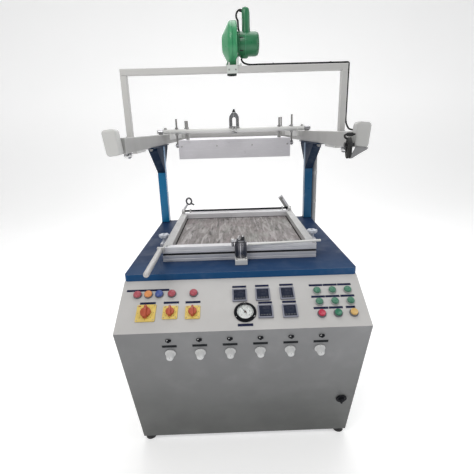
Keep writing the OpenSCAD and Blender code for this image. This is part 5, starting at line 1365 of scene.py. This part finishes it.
STRIPS = [(-385, -243, 39.5), (-333, -282, 90.5), (-256, -206, 90.5), (-185, -136, 91.5), (-31, 16, 37), (46, 92, 36), (128, 174, 35),
          (52, 97, 102.5), (130, 175, 102.5), (-17, 31, 181), (227, 273, 41), (274.5, 321.5, 41), (323, 369, 41),
          (228, 273, 86.5), (274.5, 321, 86.5), (324, 370, 86.5), (228, 275, 129.5), (277, 322, 129.5), (332, 362, 129.5)]
p = Part("labels")
for a, b, s in STRIPS:
    h = 9 if a == -17 else 8
    M = P1((a + b) / 2, s)
    p.prism(rrect(b - a, h, 0.8, 4), 0, 0.8, C["navylabel"], M)
    p.ring(rrect(b - a - 0.9, h - 0.9, 0.7, 4), rrect(b - a - 1.5, h - 1.5, 0.5, 4), 0.75, 0.83, C["label_line"], M)
for x in ZONES:
    M = P2(x, 62)
    p.prism(rrect(47, 10, 0.8, 4), 0, 0.8, C["strip"], M)
    p.ring(rrect(46, 9, 0.7, 4), rrect(45.2, 8.2, 0.5, 4), 0.75, 0.83, C["darkgrey"], M)
p.done("label_strips", "label_blue", angle=40)

# regulator knobs: skirt, fluted body, pointer line
for i, x in enumerate(ZONES):
    p = Part(f"regulator_knob_{i + 1}", f"regulator_{i + 1}")
    M = P2(x, 94)
    p.lathe([(0, -14), (3, -14), (3, 0.8), (16.4, 0.8), (17, 1.5), (17, 3.2), (16.2, 4.4), (15.0, 5.0), (14.2, 5.8), (13.8, 8), (10.6, 20.6), (9.7, 22.9), (8.2, 23.8), (0, 23.8)], C["knob"], M, 96,
            wobble=lambda a, z, r: 1 - (0.030 * max(0.0, math.cos(12 * a)) if 6.5 < z < 21.5 and r > 9 else 0))
    p.box((-0.8, 3.0, 23.7), (0.8, 7.9, 24.2), C["greyplastic"], M)
    p.box((-0.7, 14.2, 3.6), (0.7, 16.6, 4.55), C["mark"], M)
    p.done(f"zone_knob_{i + 1}", "white_knob", angle=38)

# quarter-turn lock
p = Part("quarter_turn_lock", "panel_lock")
M = P2(354, 379)
p.lathe([(0, -16), (8, -16), (8, 0.5), (18.6, 0.5), (19.5, 1.3), (19.5, 4.4), (18.5, 5.5), (11, 5.7), (11, 10.8), (10.2, 11.5), (0, 11.5)], C["flatblack"], M, 56)
p.prism([(-4, -14), (4, -14), (4.6, -8), (4.6, 8), (4, 14), (-4, 14), (-4.6, 8), (-4.6, -8)], 5.4, 14.5, C["flatblack"], M, top=[(a * 0.72, b * 0.96) for a, b in [(-4, -14), (4, -14), (4.6, -8), (4.6, 8), (4, 14), (-4, 14), (-4.6, 8), (-4.6, -8)]])
p.box((-6, -8, -20), (6, 38, -16), C["zinc"], M)
p.done("lock_knob", "black_plastic", 0.6, 2)

# --------------------------------------------------------------------------
# Fasteners
# --------------------------------------------------------------------------
p = Part("bolts_and_studs")
for s in (-1, 1):
    for y in (530, 880):
        M = at(s * 380, y, 393) @ Matrix.Rotation(math.pi, 4, "X")
        p.lathe([(5.4, 0), (10.2, 0), (10.2, 1.4), (5.4, 1.4)], C["zinc"], M, 28)
        p.nut(15.6, 5.8, C["zinc"], M @ Matrix.Translation((0, 0, 1.2)), turn=11)
        p.thread(4.9, 6.5, 12, C["zinc"], M)
    M = at(s * 384, 160, 398) @ Matrix.Rotation(math.pi, 4, "X")
    p.lathe([(0, 0), (16.2, 0), (17, 0.8), (17, 3.2), (16.2, 4), (14.5, 4.0), (14.5, 12)] + [(14.5 * math.cos(math.radians(a)), 12 + 10 * math.sin(math.radians(a))) for a in range(12, 90, 13)] + [(0, 22)], C["chrome"], M, 44)
    p.thread(4.0, 0.2, 34.5, C["zinc"], at(s * 316, 330, 0))
M = TAB @ Matrix.Translation((300, 765, -600)) @ YAX
p.nut(26, 7, C["black"], M)
p.lathe([(10, 6.5), (10, 16), (9, 18), (5.4, 18), (5, 17), (5, 0)], C["black"], M, 32)
p.done("fasteners", "zinc_steel", angle=42)
p = Part("fuse_caps")
for x in ZONES:
    M = P2(x, 34)
    p.prism(rrect(18, 9, 4.2, 6), 0, 4, C["flatblack"], M)
    p.lathe([(0, 3.9), (5.0, 3.9), (5.0, 6.6), (4.2, 7.6), (0, 7.9)], C["flatblack"], M, 32, wobble=lambda a, z, r: 1 + (0.03 * math.cos(12 * a) if z < 7 and r > 3 else 0))
    # white dot on each fuse cap: a painted highlight
    p.lathe([(2.9, 3.9), (2.9, 4.6), (2.2, 5.2), (0, 5.4)], C["knob"], M @ Matrix.Translation((-2.4, 3.1, 0)), 20)
p.done(slot="black_plastic", angle=45)

# --------------------------------------------------------------------------
# Studio
# --------------------------------------------------------------------------
me = bpy.data.meshes.new("floor")
prof = [(-6.0, 0.0), (2.6, 0.0)] + [(2.6 + 1.6 * math.sin(math.radians(a)), 1.6 - 1.6 * math.cos(math.radians(a))) for a in range(10, 91, 10)] + [(4.2, 7.0)]
vs, fs = [], []
for y, z in prof:
    vs += [(-9, y, z), (9, y, z)]
for i in range(len(prof) - 1):
    fs.append((2 * i, 2 * i + 1, 2 * i + 3, 2 * i + 2))
me.from_pydata(vs, [], fs)
for f in me.polygons:
    f.use_smooth = True
floor = bpy.data.objects.new("studio_floor", me)
bpy.context.scene.collection.objects.link(floor)
me.materials.append(mat("studio_white", (0.90, 0.90, 0.90), 0.8, emit=(1.0, 1.0, 1.0, 0.34), vary=[("noise", 1.2, (1, 1, 1), (0.88, 0.88, 0.88), 0.4, 0.7, 0.5)]))

bpy.context.scene.view_settings.view_transform = "Standard"
world = bpy.data.worlds.new("studio")
world.use_nodes = True
wt = world.node_tree
wt.nodes["Background"].inputs["Strength"].default_value = 0.34
wc = wt.nodes.new("ShaderNodeTexCoord")
ws = wt.nodes.new("ShaderNodeSeparateXYZ")
wr = wt.nodes.new("ShaderNodeValToRGB")
wr.color_ramp.elements[0].position = 0.35
wr.color_ramp.elements[0].color = (0.30, 0.31, 0.33, 1)
wr.color_ramp.elements[1].position = 0.80
wr.color_ramp.elements[1].color = (1.0, 1.0, 1.0, 1)
wm = wt.nodes.new("ShaderNodeMapRange")
wm.inputs["From Min"].default_value = -1.0
wt.links.new(wc.outputs["Generated"], ws.inputs["Vector"])
wt.links.new(ws.outputs["Z"], wm.inputs["Value"])
wt.links.new(wm.outputs["Result"], wr.inputs["Fac"])
wt.links.new(wr.outputs["Color"], wt.nodes["Background"].inputs["Color"])
bpy.context.scene.world = world


def area(name, loc, aim, size, power, color=(1, 1, 1)):
    L = bpy.data.lights.new(name, "AREA")
    L.shape = "RECTANGLE"
    L.size, L.size_y = size
    L.energy = power
    L.color = color
    o = bpy.data.objects.new(name, L)
    o.location = loc
    o.rotation_euler = (Vector(aim) - Vector(loc)).to_track_quat("-Z", "Y").to_euler()
    bpy.context.scene.collection.objects.link(o)
    return o


area("key", (-1.6, -2.6, 3.3), (0, -0.1, 0.7), (2.0, 1.6), 50, (1.0, 0.99, 0.97))
area("fill", (2.8, -1.6, 2.0), (0, 0, 0.8), (1.8, 1.8), 22, (0.97, 0.985, 1.0))
area("top", (0.2, 0.4, 3.8), (0, 0, 0.7), (2.6, 2.2), 44)
area("back", (0.0, 3.0, 2.6), (0, 0.2, 1.0), (2.4, 1.6), 20)

# camera of the photograph: 27.23 mm on a 36 mm sensor, square picture
pi_, ya, ro = 0.29258, 0.01179, 0.02865
fw = Vector((math.sin(ya) * math.cos(pi_), math.cos(ya) * math.cos(pi_), -math.sin(pi_)))
rt = Vector((math.cos(ya), -math.sin(ya), 0))
up = rt.cross(fw)
rt2 = rt * math.cos(ro) - up * math.sin(ro)
up2 = rt * math.sin(ro) + up * math.cos(ro)
cam = bpy.data.cameras.new("camera")
cam.lens = 27.228
cam.sensor_width = 36
cam.clip_end = 60
co = bpy.data.objects.new("camera", cam)
co.matrix_world = Matrix(((rt2.x, up2.x, -fw.x, -0.02322), (rt2.y, up2.y, -fw.y, -1.72749), (rt2.z, up2.z, -fw.z, 1.17790), (0, 0, 0, 1)))
bpy.context.scene.collection.objects.link(co)
bpy.context.scene.camera = co
